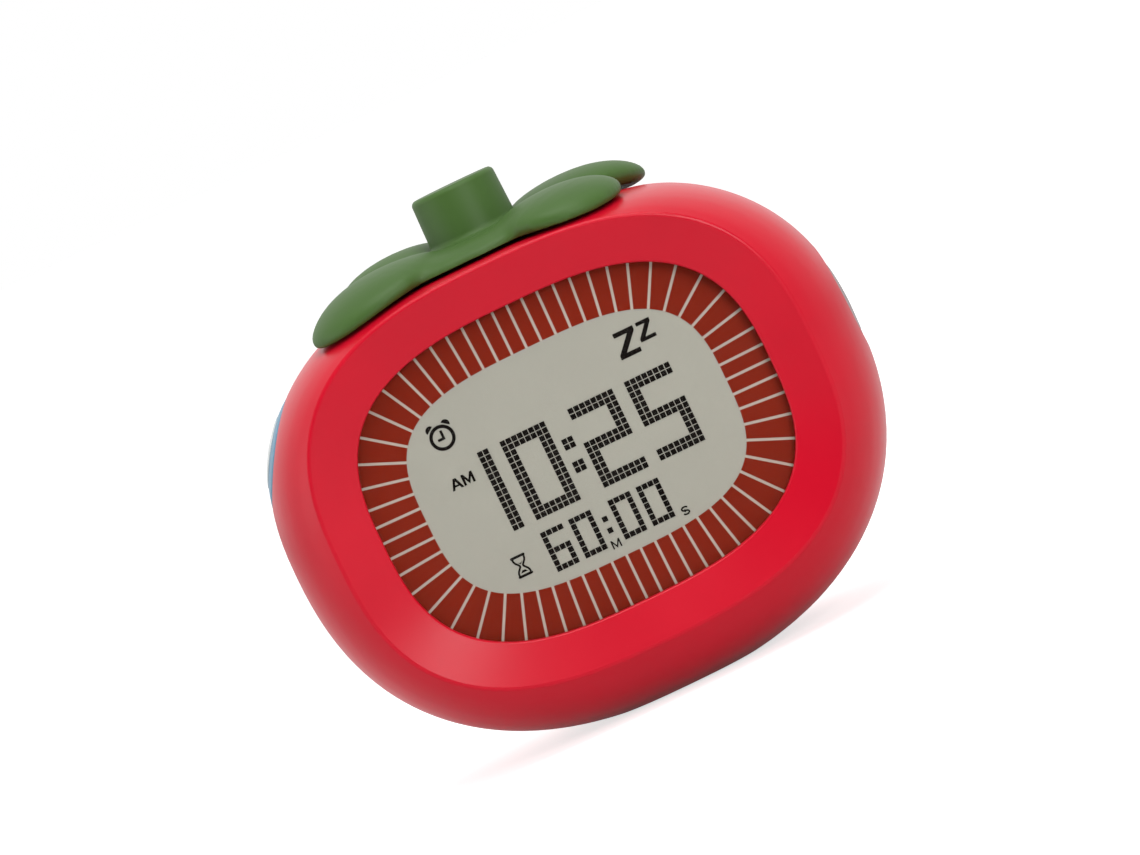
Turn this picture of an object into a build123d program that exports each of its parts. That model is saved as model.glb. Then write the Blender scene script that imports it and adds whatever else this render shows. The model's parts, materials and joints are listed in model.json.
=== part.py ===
from build123d import *
import os
from math import cos, exp, pi, radians, sin, sqrt

# Visual timer in the form of a tomato. Millimetres, +X right, +Y to the back, +Z up,
# origin under the middle of the girth, on the surface that the timer stands on.

# Round form: one girth outline at y = 0, blended to the face rim in front and to the flat back
body_width = 99.6
body_rise = 37.6
body_drop = 43.2
body_power = 2.38
base_power = 2.32
crown_limit = 34.6
crown_sharpness = 24.0
face_height = 42.5
front_depth = 22.0
rear_depth = 24.0
profile_power = 2.6
profile_share = 0.8
wall = 2.4
floor_wall = 1.6
outline_points = 36
section_shares = (0.0, 0.22, 0.45, 0.65, 0.85, 1.0)

# Face: rim, dished bezel and window
rim_width = 83.0
rim_rise = 33.5
rim_drop = 33.0
rim_power = 2.7
rim_radius = 0.6
rim_land = 0.5
dish_depth = 2.4
bezel_depth = 3.4
window_width = 67.8
window_height = 51.6
window_power = 2.84
window_edge_radius = 0.4

# Flat back
back_width = 82.0
back_rise = 31.5
back_drop = 33.5
back_power = 2.6
back_radius = 6.0

# Joint between the two shells
lip_length = 2.0
lip_gap = 0.15
lip_setback = 0.1
rebate_room = 0.6

# Base pad
pad_width = 21.0
pad_depth = 14.0
pad_thickness = 1.0
pad_proud = 0.3
pad_gap = 0.15

# Display stack, from the bezel to the main board
lens_overlap = 1.6
lens_thickness = 0.8
lens_rib_wall = 1.0
lens_rib_height = 1.0
gasket_overlap = 1.4
gasket_setback = 0.3
gasket_thickness = 0.3
panel_width = 72.0
panel_height = 56.0
panel_corner = 15.5
panel_thickness = 2.0
holder_wall = 1.4
guide_width = 65.6
guide_height = 43.6
guide_thickness = 3.0
guide_setback = 0.2
strip_length = 49.6
strip_width = 2.2
strip_height = 3.9
strip_offset = 25.0
board_thickness = 1.6
board_ear_reach = 43.2
board_ear_height = 22.0
fit_gap = 0.2

# Screws and their bosses
board_screw_x = 40.6
board_screw_z = 8.0
board_boss_radius = 2.6
housing_screw_upper = (29.0, 25.8)
housing_screw_lower = (35.5, -21.0)
housing_boss_radius = 2.6
housing_tube_radius = 3.6
housing_screw_seat = 8.0
screw_radius = 0.95
screw_head_radius = 1.9
screw_head_height = 1.3
screw_length = 5.0
housing_screw_radius = 1.25
housing_head_radius = 2.4
housing_head_height = 2.0
housing_screw_length = 16.0
screw_gap = 0.1
screw_slot = 0.7
boss_gap = 0.2

# Chips on the main board
chip_radius = 5.0
chip_height = 1.5
chip_x = -9.0
chip_z = -6.0
crystal_radius = 1.0
crystal_length = 6.0
crystal_x = 8.0
crystal_z = -8.0

# Stem cap: calyx with four lobes, stem and post
stem_radius = 7.45
stem_taper = 0.2
stem_height = 88.9
stem_edge_radius = 0.8
long_lobe_angle = 25.0
long_lobe_reach = 32.5
short_lobe_angle = 150.0
short_lobe_reach = 27.5
lobe_half_width = 9.5
lobe_root = 1.5
hub_radius = 10.0
hub_skirt_radius = 9.8
hub_skirt_wall = 1.6
hub_recess_depth = 1.5
hub_recess_gap = 0.6
lobe_blend = 8.0
calyx_gap = 0.8
calyx_rim = 2.4
calyx_crown = 2.9
calyx_crown_share = 0.56
calyx_crown_length = 9.5
calyx_crown_width = 6.2
calyx_edge_radius = 1.6
calyx_edge_step = 0.94
calyx_foot_radius = 0.5
calyx_outline_points = 72
calyx_grid = 31
calyx_tolerance = 0.005
calyx_span_angle = 60.0
calyx_span_depth = 21.0
cap_travel = 0.6
cap_post_radius = 3.2
cap_post_flat = 2.6
spring_pocket_radius = 5.4
spring_pocket_roof = 6.0
spring_radius = 4.4
spring_wire = 0.6
spring_turns = 5

# Guide, clip and switch under the crown
bush_radius = 5.6
bush_rise = 33.0
bush_drop = 26.5
bush_gap = 0.25
flange_radius = 8.2
flange_rise = 31.2
flange_thickness = 1.6
hanger_overlap = 1.6
hanger_thickness = 1.3
leg_offset = 8.0
leg_width = 3.0
leg_depth = 6.0
clip_radius = 4.8
clip_thickness = 0.8
clip_gap = 0.2
cap_board_width = 22.0
cap_board_depth = 12.0
cap_board_rise = 18.6

# Tactile switches
switch_width = 6.0
switch_height = 3.5
switch_edge_radius = 0.4
plunger_radius = 1.7
plunger_height = 0.8
switch_rest_gap = 0.3

# Side keys: angle round the girth, place in depth
blue_key_angle = 155.9
blue_key_depth = -1.5
blue_key_inset = 0.5
blue_inlay_inset = 0.15
grey_key_angle = 2.9
grey_key_depth = 0.0
grey_key_inset = 0.2
grey_inlay_inset = 0.15
side_key_radius = 9.4
side_key_gap = 0.3
side_key_skirt = 4.5
side_key_flange_radius = 10.8
side_key_flange = 1.0
side_key_wall = 1.8
side_key_skin = 2.2
side_key_post_radius = 2.2
side_key_post_length = 7.5
side_key_travel = 0.6
side_key_room = 9.0
inlay_radius = 5.8
inlay_gap = 0.1
inlay_depth = 0.6
side_board_width = 16.0
side_board_reach = 6.0

# Rear keys and slide switch
rear_key_spots = {"set_key": -16.5, "down_key": -5.5, "up_key": 5.5}
rear_key_rise = 2.5
rear_key_radius = 3.4
rear_key_gap = 0.3
rear_key_proud = 0.8
rear_key_edge = 0.5
rear_key_flange_radius = 4.2
rear_key_flange = 1.0
rear_key_post_radius = 1.5
rear_key_travel = 0.6
control_board_width = 52.0
control_board_height = 12.5
control_board_depth = 12.6
control_board_rise = 4.5
control_boss_x = 23.5
control_boss_radius = 2.4
slide_x = 15.0
slide_travel = 3.0
slide_body_length = 8.0
slide_body_width = 4.0
slide_body_height = 3.6
slide_plate_length = 5.0
slide_plate_width = 3.4
slide_plate = 1.2
slide_stem_length = 2.0
slide_stem_width = 2.2
slide_proud = 0.7
slide_gap = 0.3

# Speaker and its sound holes
speaker_radius = 10.5
speaker_thickness = 5.0
magnet_radius = 6.3
speaker_rise = 18.0
speaker_rib = 0.8
speaker_rib_height = 4.0
speaker_rim = 1.0
sound_hole_radius = 0.9
sound_hole_pitch = 3.2
sound_rings = 2

# Battery bay, cells, contacts and door
cell_radius = 5.2
cell_length = 44.5
cell_nub_radius = 1.9
cell_nub_length = 0.9
cell_edge = 0.5
cell_pitch = 11.0
cell_floor_gap = 0.2
bay_rise = -15.2
bay_length = 50.8
bay_height = 22.4
bay_floor = 10.3
bay_wall = 1.6
contact_thickness = 0.4
contact_width = 8.0
contact_spring_wire = 0.6
contact_spring_radius = 3.2
contact_spring_turns = 3
door_width = 54.0
door_height = 25.0
door_corner = 5.0
door_thickness = 1.6
door_gap = 0.2
door_grip_width = 14.0
door_grip_depth = 0.6
tab_spacing = 32.0
tab_width = 6.0
tab_thickness = 1.3
tab_reach = 1.8
tab_root = 3.5
tab_gap = 0.5
catch_width = 10.0
catch_depth = 2.6
catch_thickness = 1.3
catch_gap = 0.7

# Ribbon between the boards
ribbon_width = 12.0
ribbon_thickness = 0.5
ribbon_sag = 2.5
ribbon_rise = 1.0

# Places worked out from the sizes above
base_cut = pad_proud
rim_y = -front_depth
window_y = rim_y + dish_depth
bezel_back = rim_y + bezel_depth
lens_back = bezel_back + lens_thickness
panel_front = lens_back + gasket_thickness
panel_back = panel_front + panel_thickness
board_front = panel_back + strip_height
board_back = board_front + board_thickness
back_inner = rear_depth - wall
control_front = control_board_depth
control_back = control_front + board_thickness
key_floor = control_back + switch_height + plunger_height + switch_rest_gap + rear_key_travel
door_inner = rear_depth - door_thickness
post_bottom = cap_board_rise + switch_height + plunger_height + switch_rest_gap + cap_travel
clip_top = bush_drop - clip_gap
far = 3 * body_width
edge_tolerance = 0.01
MIN = (Align.CENTER, Align.CENTER, Align.MIN)
os.makedirs("parts", exist_ok=True)


def save(node, *solids):
    """Write one node, one solid or a group of like solids."""
    shape = solids[0] if len(solids) == 1 else Compound(children=list(solids))
    shape.label = node
    export_step(shape, f"parts/{node}.step")


def ring(angle, half_width, rise, drop, power, limit=None):
    """Point of a rounded outline at one polar angle; a limit flattens its crown softly."""
    across = cos(angle)
    up = sin(angle)
    height = rise if up >= 0 else drop
    reach = (abs(across / half_width) ** power + abs(up / height) ** power) ** (-1 / power)
    z = reach * up
    if limit and z > 0:
        z *= (1 + (z / limit) ** crown_sharpness) ** (-1 / crown_sharpness)
    return reach * across, z


def bulge(share):
    """How far the outline has swollen from an end towards the girth, from 0 to 1."""
    edge = (1 - profile_share ** profile_power) ** (1 / profile_power)
    here = (1 - (profile_share * share) ** profile_power) ** (1 / profile_power)
    return (here - edge) / (1 - edge)


def form_point(angle, y, inset):
    """Point of the round form, or of the form set in (or out) by a wall or a gap."""
    power = body_power if sin(angle) >= 0 else base_power
    girth = ring(angle, body_width / 2 - inset, body_rise - inset, body_drop - inset, power,
                 crown_limit - inset)
    if y < 0:
        end = ring(angle, rim_width / 2 - inset, rim_rise - inset, rim_drop - inset, rim_power)
        part = bulge(-y / front_depth)
    else:
        end = ring(angle, back_width / 2 - inset, back_rise - inset, back_drop - inset, back_power)
        part = bulge(y / rear_depth)
    x = end[0] + (girth[0] - end[0]) * part
    z = end[1] + (girth[1] - end[1]) * part
    return x, y, face_height + z


def closed_curve(points):
    """Smooth closed wire through points of a formula."""
    return Wire([Edge.make_spline([Vector(*point) for point in points], periodic=True)])


def loft_through(inset, stations):
    """Solid of the form, set in by an inset, through outlines at the given depths."""
    angles = [2 * pi * step / outline_points for step in range(outline_points)]
    return Solid.make_loft([closed_curve([form_point(a, y, inset) for a in angles]) for y in stations])


def front_half(inset=0.0, depth=front_depth):
    """Front half of the form, from the parting plane to a depth in front of it."""
    return loft_through(inset, [-depth * share for share in section_shares])


def rear_half(inset=0.0, depth=rear_depth):
    """Rear half of the form, from the parting plane to a depth behind it."""
    return loft_through(inset, [depth * share for share in section_shares])


def form(inset=0.0):
    """The whole round form, set in or out."""
    front = [-front_depth * share for share in reversed(section_shares)]
    return loft_through(inset, front + [rear_depth * share for share in section_shares[1:]])


def oval(width, height, power, y):
    """Face outline of the display, parallel to the face, at one depth."""
    angles = [2 * pi * step / outline_points for step in range(outline_points)]
    points = [ring(a, width / 2, height / 2, height / 2, power) for a in angles]
    return closed_curve([(x, y, face_height + z) for x, z in points])


def oval_plate(width, height, y0, y1):
    """Plate with the window's outline between two depths."""
    return extrude(Face(oval(width, height, window_power, y0)), amount=y1 - y0, dir=(0, 1, 0))


def depth_plane(x, y, rise):
    """Plane across the depth, at a height above the middle of the face."""
    return Plane(origin=(x, y, face_height + rise), x_dir=(1, 0, 0), z_dir=(0, 1, 0))


def rod(radius, y0, y1, x=0.0, rise=0.0):
    """Cylinder that runs from front to back."""
    return depth_plane(x, y0, rise) * Cylinder(radius, y1 - y0, align=MIN)


def slab(width, height, y0, y1, x=0.0, rise=0.0):
    """Box across the depth, centred on x and on a height above the middle of the face."""
    return depth_plane(x, y0, rise) * Box(width, height, y1 - y0, align=MIN)


def cut_plate(margin, y0, y1):
    """Plate with the display panel's cut corners, a margin larger all round."""
    corner = panel_corner + (2 - sqrt(2)) * margin
    outline = chamfer(Rectangle(panel_width + 2 * margin, panel_height + 2 * margin).vertices(), corner)
    return depth_plane(0, y0, 0) * extrude(outline, amount=y1 - y0)


def pillar(radius, rise0, rise1, x=0.0, y=0.0):
    """Upright cylinder between two heights above the middle of the face."""
    return Pos(x, y, face_height + rise0) * Cylinder(radius, rise1 - rise0, align=MIN)


def edges_at(shape, y):
    """Edges that lie in one plane across the depth."""
    return shape.edges().filter_by_position(Axis.Y, y - edge_tolerance, y + edge_tolerance)


front_zone = Pos(0, -far / 2, 0) * Box(far, far, far)
rear_zone = Pos(0, far / 2, 0) * Box(far, far, far)
floor_top = base_cut + pad_thickness - pad_proud + floor_wall
above_base = Pos(0, 0, base_cut) * Box(far, far, far, align=MIN)
above_floor = Pos(0, 0, floor_top) * Box(far, far, far, align=MIN)


def side_key_plane(angle, depth):
    """Plane on the girth with its normal pointing out of the body."""
    here = form_point(radians(angle), 0, 0)
    ahead = form_point(radians(angle + 1), 0, 0)
    behind = form_point(radians(angle - 1), 0, 0)
    along = Vector(ahead[0] - behind[0], 0, ahead[2] - behind[2]).normalized()
    outward = Vector(along.Z, 0, -along.X)
    return Plane(origin=(here[0], depth, here[2]), x_dir=(0, 1, 0), z_dir=outward)


blue_plane = side_key_plane(blue_key_angle, blue_key_depth)
grey_plane = side_key_plane(grey_key_angle, grey_key_depth)


def drum(plane, radius, deep, high):
    """Cylinder on a side key's axis, from a depth under the surface to a height over it."""
    return plane * Pos(0, 0, -deep) * Cylinder(radius, deep + high, align=MIN)


def screw_spots():
    """Places of the four housing screws, across and above the middle of the face."""
    return [(side * x, rise) for x, rise in (housing_screw_upper, housing_screw_lower) for side in (1, -1)]


def board_spots():
    """Places of the four board screws."""
    return [(side * board_screw_x, up * board_screw_z) for side in (1, -1) for up in (1, -1)]


def shell_openings():
    """Holes that the two shells share: crown hole, side key holes and the pad's recess."""
    crown = pillar(bush_radius + bush_gap, 0, body_rise)
    keys = [drum(plane, side_key_radius + side_key_gap, side_key_skirt + wall, side_key_room)
            for plane in (blue_plane, grey_plane)]
    pad = Pos(0, 0, base_cut) * extrude(Ellipse(pad_width / 2 + pad_gap, pad_depth / 2 + pad_gap),
                                        amount=pad_thickness - pad_proud)
    low = side_key_skirt + side_key_flange + side_key_travel + side_key_gap
    flanges = [drum(plane, side_key_flange_radius + side_key_gap, low, fit_gap - side_key_skirt)
               for plane in (blue_plane, grey_plane)]
    recess = pillar(hub_skirt_radius + hub_recess_gap, crown_limit - hub_recess_depth, body_rise)
    return [crown, recess, *keys, *flanges, pad]


def girth_plate(inset, length):
    """Plate with the girth's outline, set in, that runs forward from the parting plane."""
    angles = [2 * pi * step / outline_points for step in range(outline_points)]
    outline = Face(closed_curve([form_point(a, 0, inset) for a in angles]))
    return extrude(outline, amount=length, dir=(0, -1, 0))


def lip(outer_inset, inner_inset, length):
    """Ring in front of the parting plane between two insets, above the floor."""
    return (girth_plate(outer_inset, length) - girth_plate(inner_inset, length)) & above_floor


def hanger():
    """Ring shelf under the crown that traps the guide's flange."""
    low = flange_rise - flange_thickness - fit_gap - hanger_thickness
    high = crown_limit - wall / 2
    shelf = pillar(flange_radius + bush_gap + hanger_thickness, low, high)
    shelf -= pillar(flange_radius + bush_gap, low + hanger_thickness, high)
    shelf -= pillar(flange_radius - hanger_overlap, low, high)
    return shelf - Box(2 * (leg_offset + leg_width), leg_depth + 2 * bush_gap, far)


def front_housing():
    """Front shell with rim, dished bezel, window, lens rib and bosses."""
    angles = [2 * pi * step / outline_points for step in range(outline_points)]
    dish_rim = [ring(a, rim_width / 2 - rim_land, rim_rise - rim_land, rim_drop - rim_land, rim_power)
                for a in angles]
    dish = Solid.make_loft([closed_curve([(x, rim_y, face_height + z) for x, z in dish_rim]),
                            oval(window_width, window_height, window_power, window_y)], True)
    window = oval_plate(window_width, window_height, rim_y, bezel_back)
    outside = front_half()
    outside = outside.fillet(rim_radius, edges_at(outside, rim_y)) & above_base
    shell = outside.cut(front_half(wall, -bezel_back) & above_floor)
    shell = shell.cut(dish).cut(window)
    shell = shell.fillet(window_edge_radius, edges_at(shell, window_y))
    shell = shell.cut(lip(wall / 2, wall + rebate_room, lip_length + lip_gap))
    rib_room = lens_overlap + fit_gap
    rib_reach = rib_room + lens_rib_wall
    rib = oval_plate(window_width + 2 * rib_reach, window_height + 2 * rib_reach,
                     bezel_back, bezel_back + lens_rib_height)
    rib -= oval_plate(window_width + 2 * rib_room, window_height + 2 * rib_room,
                      bezel_back, bezel_back + lens_rib_height)
    bosses = [rod(board_boss_radius, bezel_back, board_front, x, rise) for x, rise in board_spots()]
    bosses += [rod(housing_boss_radius, bezel_back, -boss_gap, x, rise) for x, rise in screw_spots()]
    shell = shell.fuse(rib).fuse(*bosses).fuse(*(hanger() & front_zone).solids())
    bores = [rod(screw_radius + screw_gap, board_front - screw_length, board_front, x, rise)
             for x, rise in board_spots()]
    bores += [rod(housing_screw_radius + screw_gap, housing_screw_seat - housing_screw_length, 0, x, rise)
              for x, rise in screw_spots()]
    shell = shell.cut(*bores)
    for opening in shell_openings():
        shell = shell.cut(opening)
    return shell


def rear_housing():
    """Rear shell with lip, battery bay, screw tubes, sound holes, key holes and door seat."""
    outside = rear_half()
    outside = outside.fillet(back_radius, edges_at(outside, rear_depth)) & above_base
    shell = outside.cut(rear_half(wall, back_inner) & above_floor)
    skin = rear_half(wall / 2)
    bay = slab(bay_length + 2 * bay_wall, bay_height + 2 * bay_wall, bay_floor - bay_wall, back_inner,
               0, bay_rise)
    tubes = [rod(housing_tube_radius, 0, rear_depth, x, rise) & skin for x, rise in screw_spots()]
    control = [rod(control_boss_radius, control_back, back_inner, side * control_boss_x, rear_key_rise)
               for side in (1, -1)]
    collar = rod(speaker_radius + fit_gap + speaker_rib, back_inner - speaker_rib_height, back_inner,
                 0, speaker_rise)
    collar -= rod(speaker_radius + fit_gap, back_inner - speaker_rib_height, back_inner, 0, speaker_rise)
    shelf = (hanger() & rear_zone).solids()
    shell = shell.fuse(lip(wall / 2 + lip_gap, wall - lip_setback, lip_length))
    shell = shell.fuse(bay, *tubes).fuse(*control, collar, *shelf)
    cuts = [slab(bay_length, bay_height, bay_floor, rear_depth, 0, bay_rise)]
    cuts += [depth_plane(0, door_inner, bay_rise) * extrude(
        RectangleRounded(door_width + 2 * door_gap, door_height + 2 * door_gap, door_corner),
        amount=rear_depth)]
    slot_rise = bay_rise - bay_height / 2
    slot_back = back_inner
    slot_front = slot_back - 2 * tab_thickness
    cuts += [slab(tab_width + 2 * door_gap, 2 * (tab_reach + bay_wall), slot_front, slot_back,
                  side * tab_spacing / 2, slot_rise) for side in (1, -1)]
    cuts += [rod(housing_screw_radius + screw_gap, -far, far, x, rise) for x, rise in screw_spots()]
    cuts += [rod(housing_head_radius + fit_gap, housing_screw_seat, far, x, rise)
             for x, rise in screw_spots()]
    cuts += [rod(rear_key_radius + rear_key_gap, back_inner, far, x, rear_key_rise)
             for x in rear_key_spots.values()]
    cuts += [slab(slide_travel + slide_stem_length + 2 * slide_gap, slide_stem_width + 2 * slide_gap,
                  back_inner, far, slide_x + slide_travel / 2, rear_key_rise)]
    cuts += [rod(screw_radius + screw_gap, control_back, control_back + screw_length,
                 side * control_boss_x, rear_key_rise) for side in (1, -1)]
    cuts += [rod(sound_hole_radius, back_inner, far, x, speaker_rise + rise) for x, rise in sound_spots()]
    shell = shell.cut(*cuts)
    for opening in shell_openings():
        shell = shell.cut(opening)
    return shell


def sound_spots():
    """Places of the sound holes: one in the middle and rings of six, twelve and so on round it."""
    spots = [(0.0, 0.0)]
    for ring_number in range(1, sound_rings + 1):
        count = 6 * ring_number
        for step in range(count):
            turn = 2 * pi * step / count
            reach = ring_number * sound_hole_pitch
            spots.append((reach * cos(turn), reach * sin(turn)))
    return spots


def lobe_edge(angle, lobe_angle, reach):
    """Distance from the stem's axis to one lobe's elliptical edge."""
    half_length = (reach + lobe_root) / 2
    centre = (reach - lobe_root) / 2
    along = cos(angle - lobe_angle)
    across = sin(angle - lobe_angle)
    square = (along / half_length) ** 2 + (across / lobe_half_width) ** 2
    middle = centre * along / half_length ** 2
    rest = (centre / half_length) ** 2 - 1
    return (middle + sqrt(middle ** 2 - square * rest)) / square


def lobes():
    """Plan angle and reach of the four lobes, a long and a short pair."""
    pairs = ((long_lobe_angle, long_lobe_reach), (short_lobe_angle, short_lobe_reach))
    return [(radians(angle + turn), reach) for angle, reach in pairs for turn in (0, 180)]


def calyx_edge(angle):
    """Distance from the stem's axis to the calyx's edge, the four lobes blended with the hub."""
    edges = [lobe_edge(angle, lobe_angle, reach) for lobe_angle, reach in lobes()] + [hub_radius]
    return sum(edge ** lobe_blend for edge in edges) ** (1 / lobe_blend)


def calyx_thickness(x, y):
    """Thickness of the calyx, with a crown along each lobe."""
    crown = 0.0
    for lobe_angle, reach in lobes():
        along = x * cos(lobe_angle) + y * sin(lobe_angle) - reach * calyx_crown_share
        across = y * cos(lobe_angle) - x * sin(lobe_angle)
        crown += exp(-(along / calyx_crown_length) ** 2 - (across / calyx_crown_width) ** 2)
    return calyx_rim + calyx_crown * crown


def rounded(shape, edge, radius):
    """Shape with one edge rounded, at the radius asked for or the next smaller one that fits."""
    while radius > edge_tolerance:
        try:
            return shape.fillet(radius, [edge])
        except ValueError:
            radius *= calyx_edge_step
    return shape


def calyx():
    """Four plump lobes that follow the body's crown, a gap above it."""
    angles = [2 * pi * step / calyx_outline_points for step in range(calyx_outline_points)]
    plan = closed_curve([(calyx_edge(a) * cos(a), calyx_edge(a) * sin(a), face_height) for a in angles])
    leaf = extrude(Face(plan), amount=body_rise + calyx_rim + calyx_crown, dir=(0, 0, 1))
    grid = []
    for row in range(calyx_grid):
        y = calyx_span_depth * (2 * row / (calyx_grid - 1) - 1)
        line = []
        for column in range(calyx_grid):
            turn = radians(90 + calyx_span_angle * (2 * column / (calyx_grid - 1) - 1))
            under = form_point(turn, y, -calyx_gap)
            line.append(form_point(turn, y, -calyx_gap - calyx_thickness(under[0], under[1])))
        grid.append(line)
    sheet = Face.make_surface_from_array_of_points(grid, tol=calyx_tolerance)
    above = extrude(sheet, amount=body_rise, dir=(0, 0, 1))
    leaf = leaf.cut(above, form(-calyx_gap))
    foot, rim = [edge for edge in leaf.edges().sort_by(Axis.Z) if edge.is_closed]
    leaf = rounded(leaf, rim, calyx_edge_radius)
    foot = [edge for edge in leaf.edges().sort_by(Axis.Z) if edge.is_closed][0]
    return rounded(leaf, foot, calyx_foot_radius)


def stem_cap():
    """Calyx, stem, spring pocket and flatted post in one moulding."""
    leaf = calyx()
    foot_rise = crown_limit - calyx_gap
    stem = Pos(0, 0, face_height + foot_rise) * Cone(
        stem_radius, stem_radius - stem_taper, stem_height - face_height - foot_rise, align=MIN)
    stem = fillet(stem.edges().group_by(Axis.Z)[-1], stem_edge_radius)
    skirt_foot = crown_limit - hub_recess_depth + cap_travel + fit_gap
    skirt_top = crown_limit + calyx_gap + calyx_rim / 2
    skirt = pillar(hub_skirt_radius, skirt_foot, skirt_top)
    skirt -= pillar(hub_skirt_radius - hub_skirt_wall, skirt_foot, skirt_top)
    cap = leaf.fuse(stem - form(-calyx_gap)).fuse(skirt)
    cap -= pillar(spring_pocket_radius, 0, bush_rise + spring_pocket_roof)
    post = pillar(cap_post_radius, post_bottom, bush_rise + spring_pocket_roof)
    post &= Box(far, 2 * cap_post_flat, far)
    groove = pillar(cap_post_radius, clip_top - clip_thickness - clip_gap, clip_top + clip_gap)
    groove -= pillar(cap_post_radius - clip_thickness, clip_top - clip_thickness - clip_gap,
                     clip_top + clip_gap)
    return cap.fuse(post - groove)


def cap_clip():
    """Open ring that snaps into the post's groove under the guide."""
    clip = pillar(clip_radius, clip_top - clip_thickness, clip_top)
    clip -= pillar(cap_post_radius - clip_thickness + screw_gap, clip_top - clip_thickness, clip_top)
    mouth = 2 * (cap_post_radius - clip_thickness)
    return clip - Pos(0, -clip_radius, 0) * Box(mouth, 2 * clip_radius, far)


def coil(radius, wire, turns, height):
    """Closed-ended coil spring along Z, from its foot at the origin."""
    pitch = (height - wire) / turns
    path = Helix(pitch, height - wire, radius - wire / 2)
    start = Plane(origin=path @ 0, z_dir=path % 0)
    return Pos(0, 0, wire / 2) * sweep(start * Circle(wire / 2), path=path, is_frenet=True)


def cap_guide():
    """Flanged bush for the post with two legs that carry the switch board."""
    guide = pillar(bush_radius, bush_drop, bush_rise)
    guide += pillar(flange_radius, flange_rise - flange_thickness, flange_rise)
    leg_length = flange_rise - cap_board_rise
    for side in (1, -1):
        leg_spot = Pos(side * leg_offset, 0, face_height + cap_board_rise)
        leg = leg_spot * Box(leg_width, leg_depth, leg_length, align=MIN)
        foot = pillar(flange_radius + leg_width, cap_board_rise, flange_rise)
        guide += leg & foot
    bore = pillar(cap_post_radius + bush_gap, bush_drop, bush_rise)
    return guide - (bore & Box(far, 2 * (cap_post_flat + bush_gap), far))


def tact_switch(plane):
    """Square tactile switch that stands on a plane, with its plunger."""
    body = Box(switch_width, switch_width, switch_height, align=MIN)
    body = fillet(body.edges().filter_by(Axis.Z), switch_edge_radius)
    return plane * (body + Pos(0, 0, switch_height) * Cylinder(plunger_radius, plunger_height, align=MIN))


def side_key(plane, inset):
    """Round key cap whose top follows the girth, hollow, with flange and post."""
    reach = side_key_skirt + side_key_flange
    skin = inset + side_key_skin
    cap = drum(plane, side_key_radius, reach, side_key_room) & form(inset)
    cap += drum(plane, side_key_flange_radius, reach, -side_key_skirt)
    cap -= drum(plane, side_key_radius - side_key_wall, reach, side_key_room) & form(skin)
    post = drum(plane, side_key_post_radius, side_key_post_length, -inset - side_key_skin / 2)
    pocket = drum(plane, inlay_radius + inlay_gap, skin, side_key_room) - form(inset + inlay_depth)
    return cap + post - pocket


def side_inlay(plane, inset, key_inset):
    """Pale disc let into a side key."""
    disc = drum(plane, inlay_radius, key_inset + side_key_skin, side_key_room) & form(inset)
    return disc - form(key_inset + inlay_depth - inlay_gap / 2)


def side_switch_seat(plane):
    """Plane of the board's face that carries a side switch."""
    top = side_key_post_length + side_key_travel + switch_rest_gap
    seat = top + plunger_height + switch_height
    return plane * Pos(0, 0, -seat)


def side_board(plane):
    """Small board that stands on the main board's back and carries a side switch."""
    seat = side_switch_seat(plane)
    reach = plane.origin.Y - board_back
    board = Box(reach + side_board_reach, side_board_width, board_thickness,
                align=(Align.MIN, Align.CENTER, Align.MAX))
    return seat * Pos(-reach, 0, 0) * board


def main_board():
    """Board behind the display, with an ear at each side for its screws."""
    board = cut_plate(fit_gap + holder_wall, board_front, board_back)
    board += slab(2 * board_ear_reach, board_ear_height, board_front, board_back)
    for x, rise in board_spots():
        board -= rod(screw_radius + screw_gap, board_front, board_back, x, rise)
    return board


def lcd_holder():
    """Frame that seats the panel, the light guide and the contact strips against the board."""
    frame = cut_plate(fit_gap + holder_wall, panel_front, board_front)
    frame -= cut_plate(fit_gap, panel_front, panel_back)
    frame -= slab(guide_width + 2 * fit_gap, guide_height + 2 * fit_gap, panel_back, board_front)
    for side in (1, -1):
        frame -= slab(strip_length + 2 * fit_gap, strip_width + 2 * fit_gap, panel_back, board_front,
                      0, side * strip_offset)
    return frame


def screw(radius, length, head_radius, head_height, plane):
    """Pan-head screw, its head standing on a plane and its shank running below it."""
    head = Cylinder(head_radius, head_height, align=MIN)
    head = fillet(head.edges().group_by(Axis.Z)[-1], head_height / 2)
    slot = Pos(0, 0, head_height) * Box(2 * head_radius, screw_slot, head_height)
    shank = Cylinder(radius, length, align=(Align.CENTER, Align.CENTER, Align.MAX))
    return plane * (head - slot + shank)


def control_board():
    """Board behind the back wall for the rear keys and the slide switch."""
    board = slab(control_board_width, control_board_height, control_front, control_back,
                 0, control_board_rise)
    for side in (1, -1):
        board -= rod(screw_radius + screw_gap, control_front, control_back, side * control_boss_x,
                     rear_key_rise)
    return board


def rear_key():
    """Small domed key on Z, its flange's top at the back wall's inner face."""
    top = wall + rear_key_proud + rear_key_gap
    cap = Pos(0, 0, -rear_key_gap) * Cylinder(rear_key_radius, top, align=MIN)
    cap = fillet(cap.edges().group_by(Axis.Z)[-1], rear_key_edge)
    flange = Pos(0, 0, -rear_key_gap) * Cylinder(
        rear_key_flange_radius, rear_key_flange, align=(Align.CENTER, Align.CENTER, Align.MAX))
    post = Cylinder(rear_key_post_radius, back_inner - key_floor,
                    align=(Align.CENTER, Align.CENTER, Align.MAX))
    return cap + flange + post


def slide_knob():
    """Plate, stem and ridged grip of the slide switch."""
    plate_floor = control_back + slide_body_height + slide_gap
    plate = slab(slide_plate_length, slide_plate_width, plate_floor, plate_floor + slide_plate,
                 slide_x, rear_key_rise)
    stem = slab(slide_stem_length, slide_stem_width, plate_floor, rear_depth + slide_proud,
                slide_x, rear_key_rise)
    return plate + stem


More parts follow.
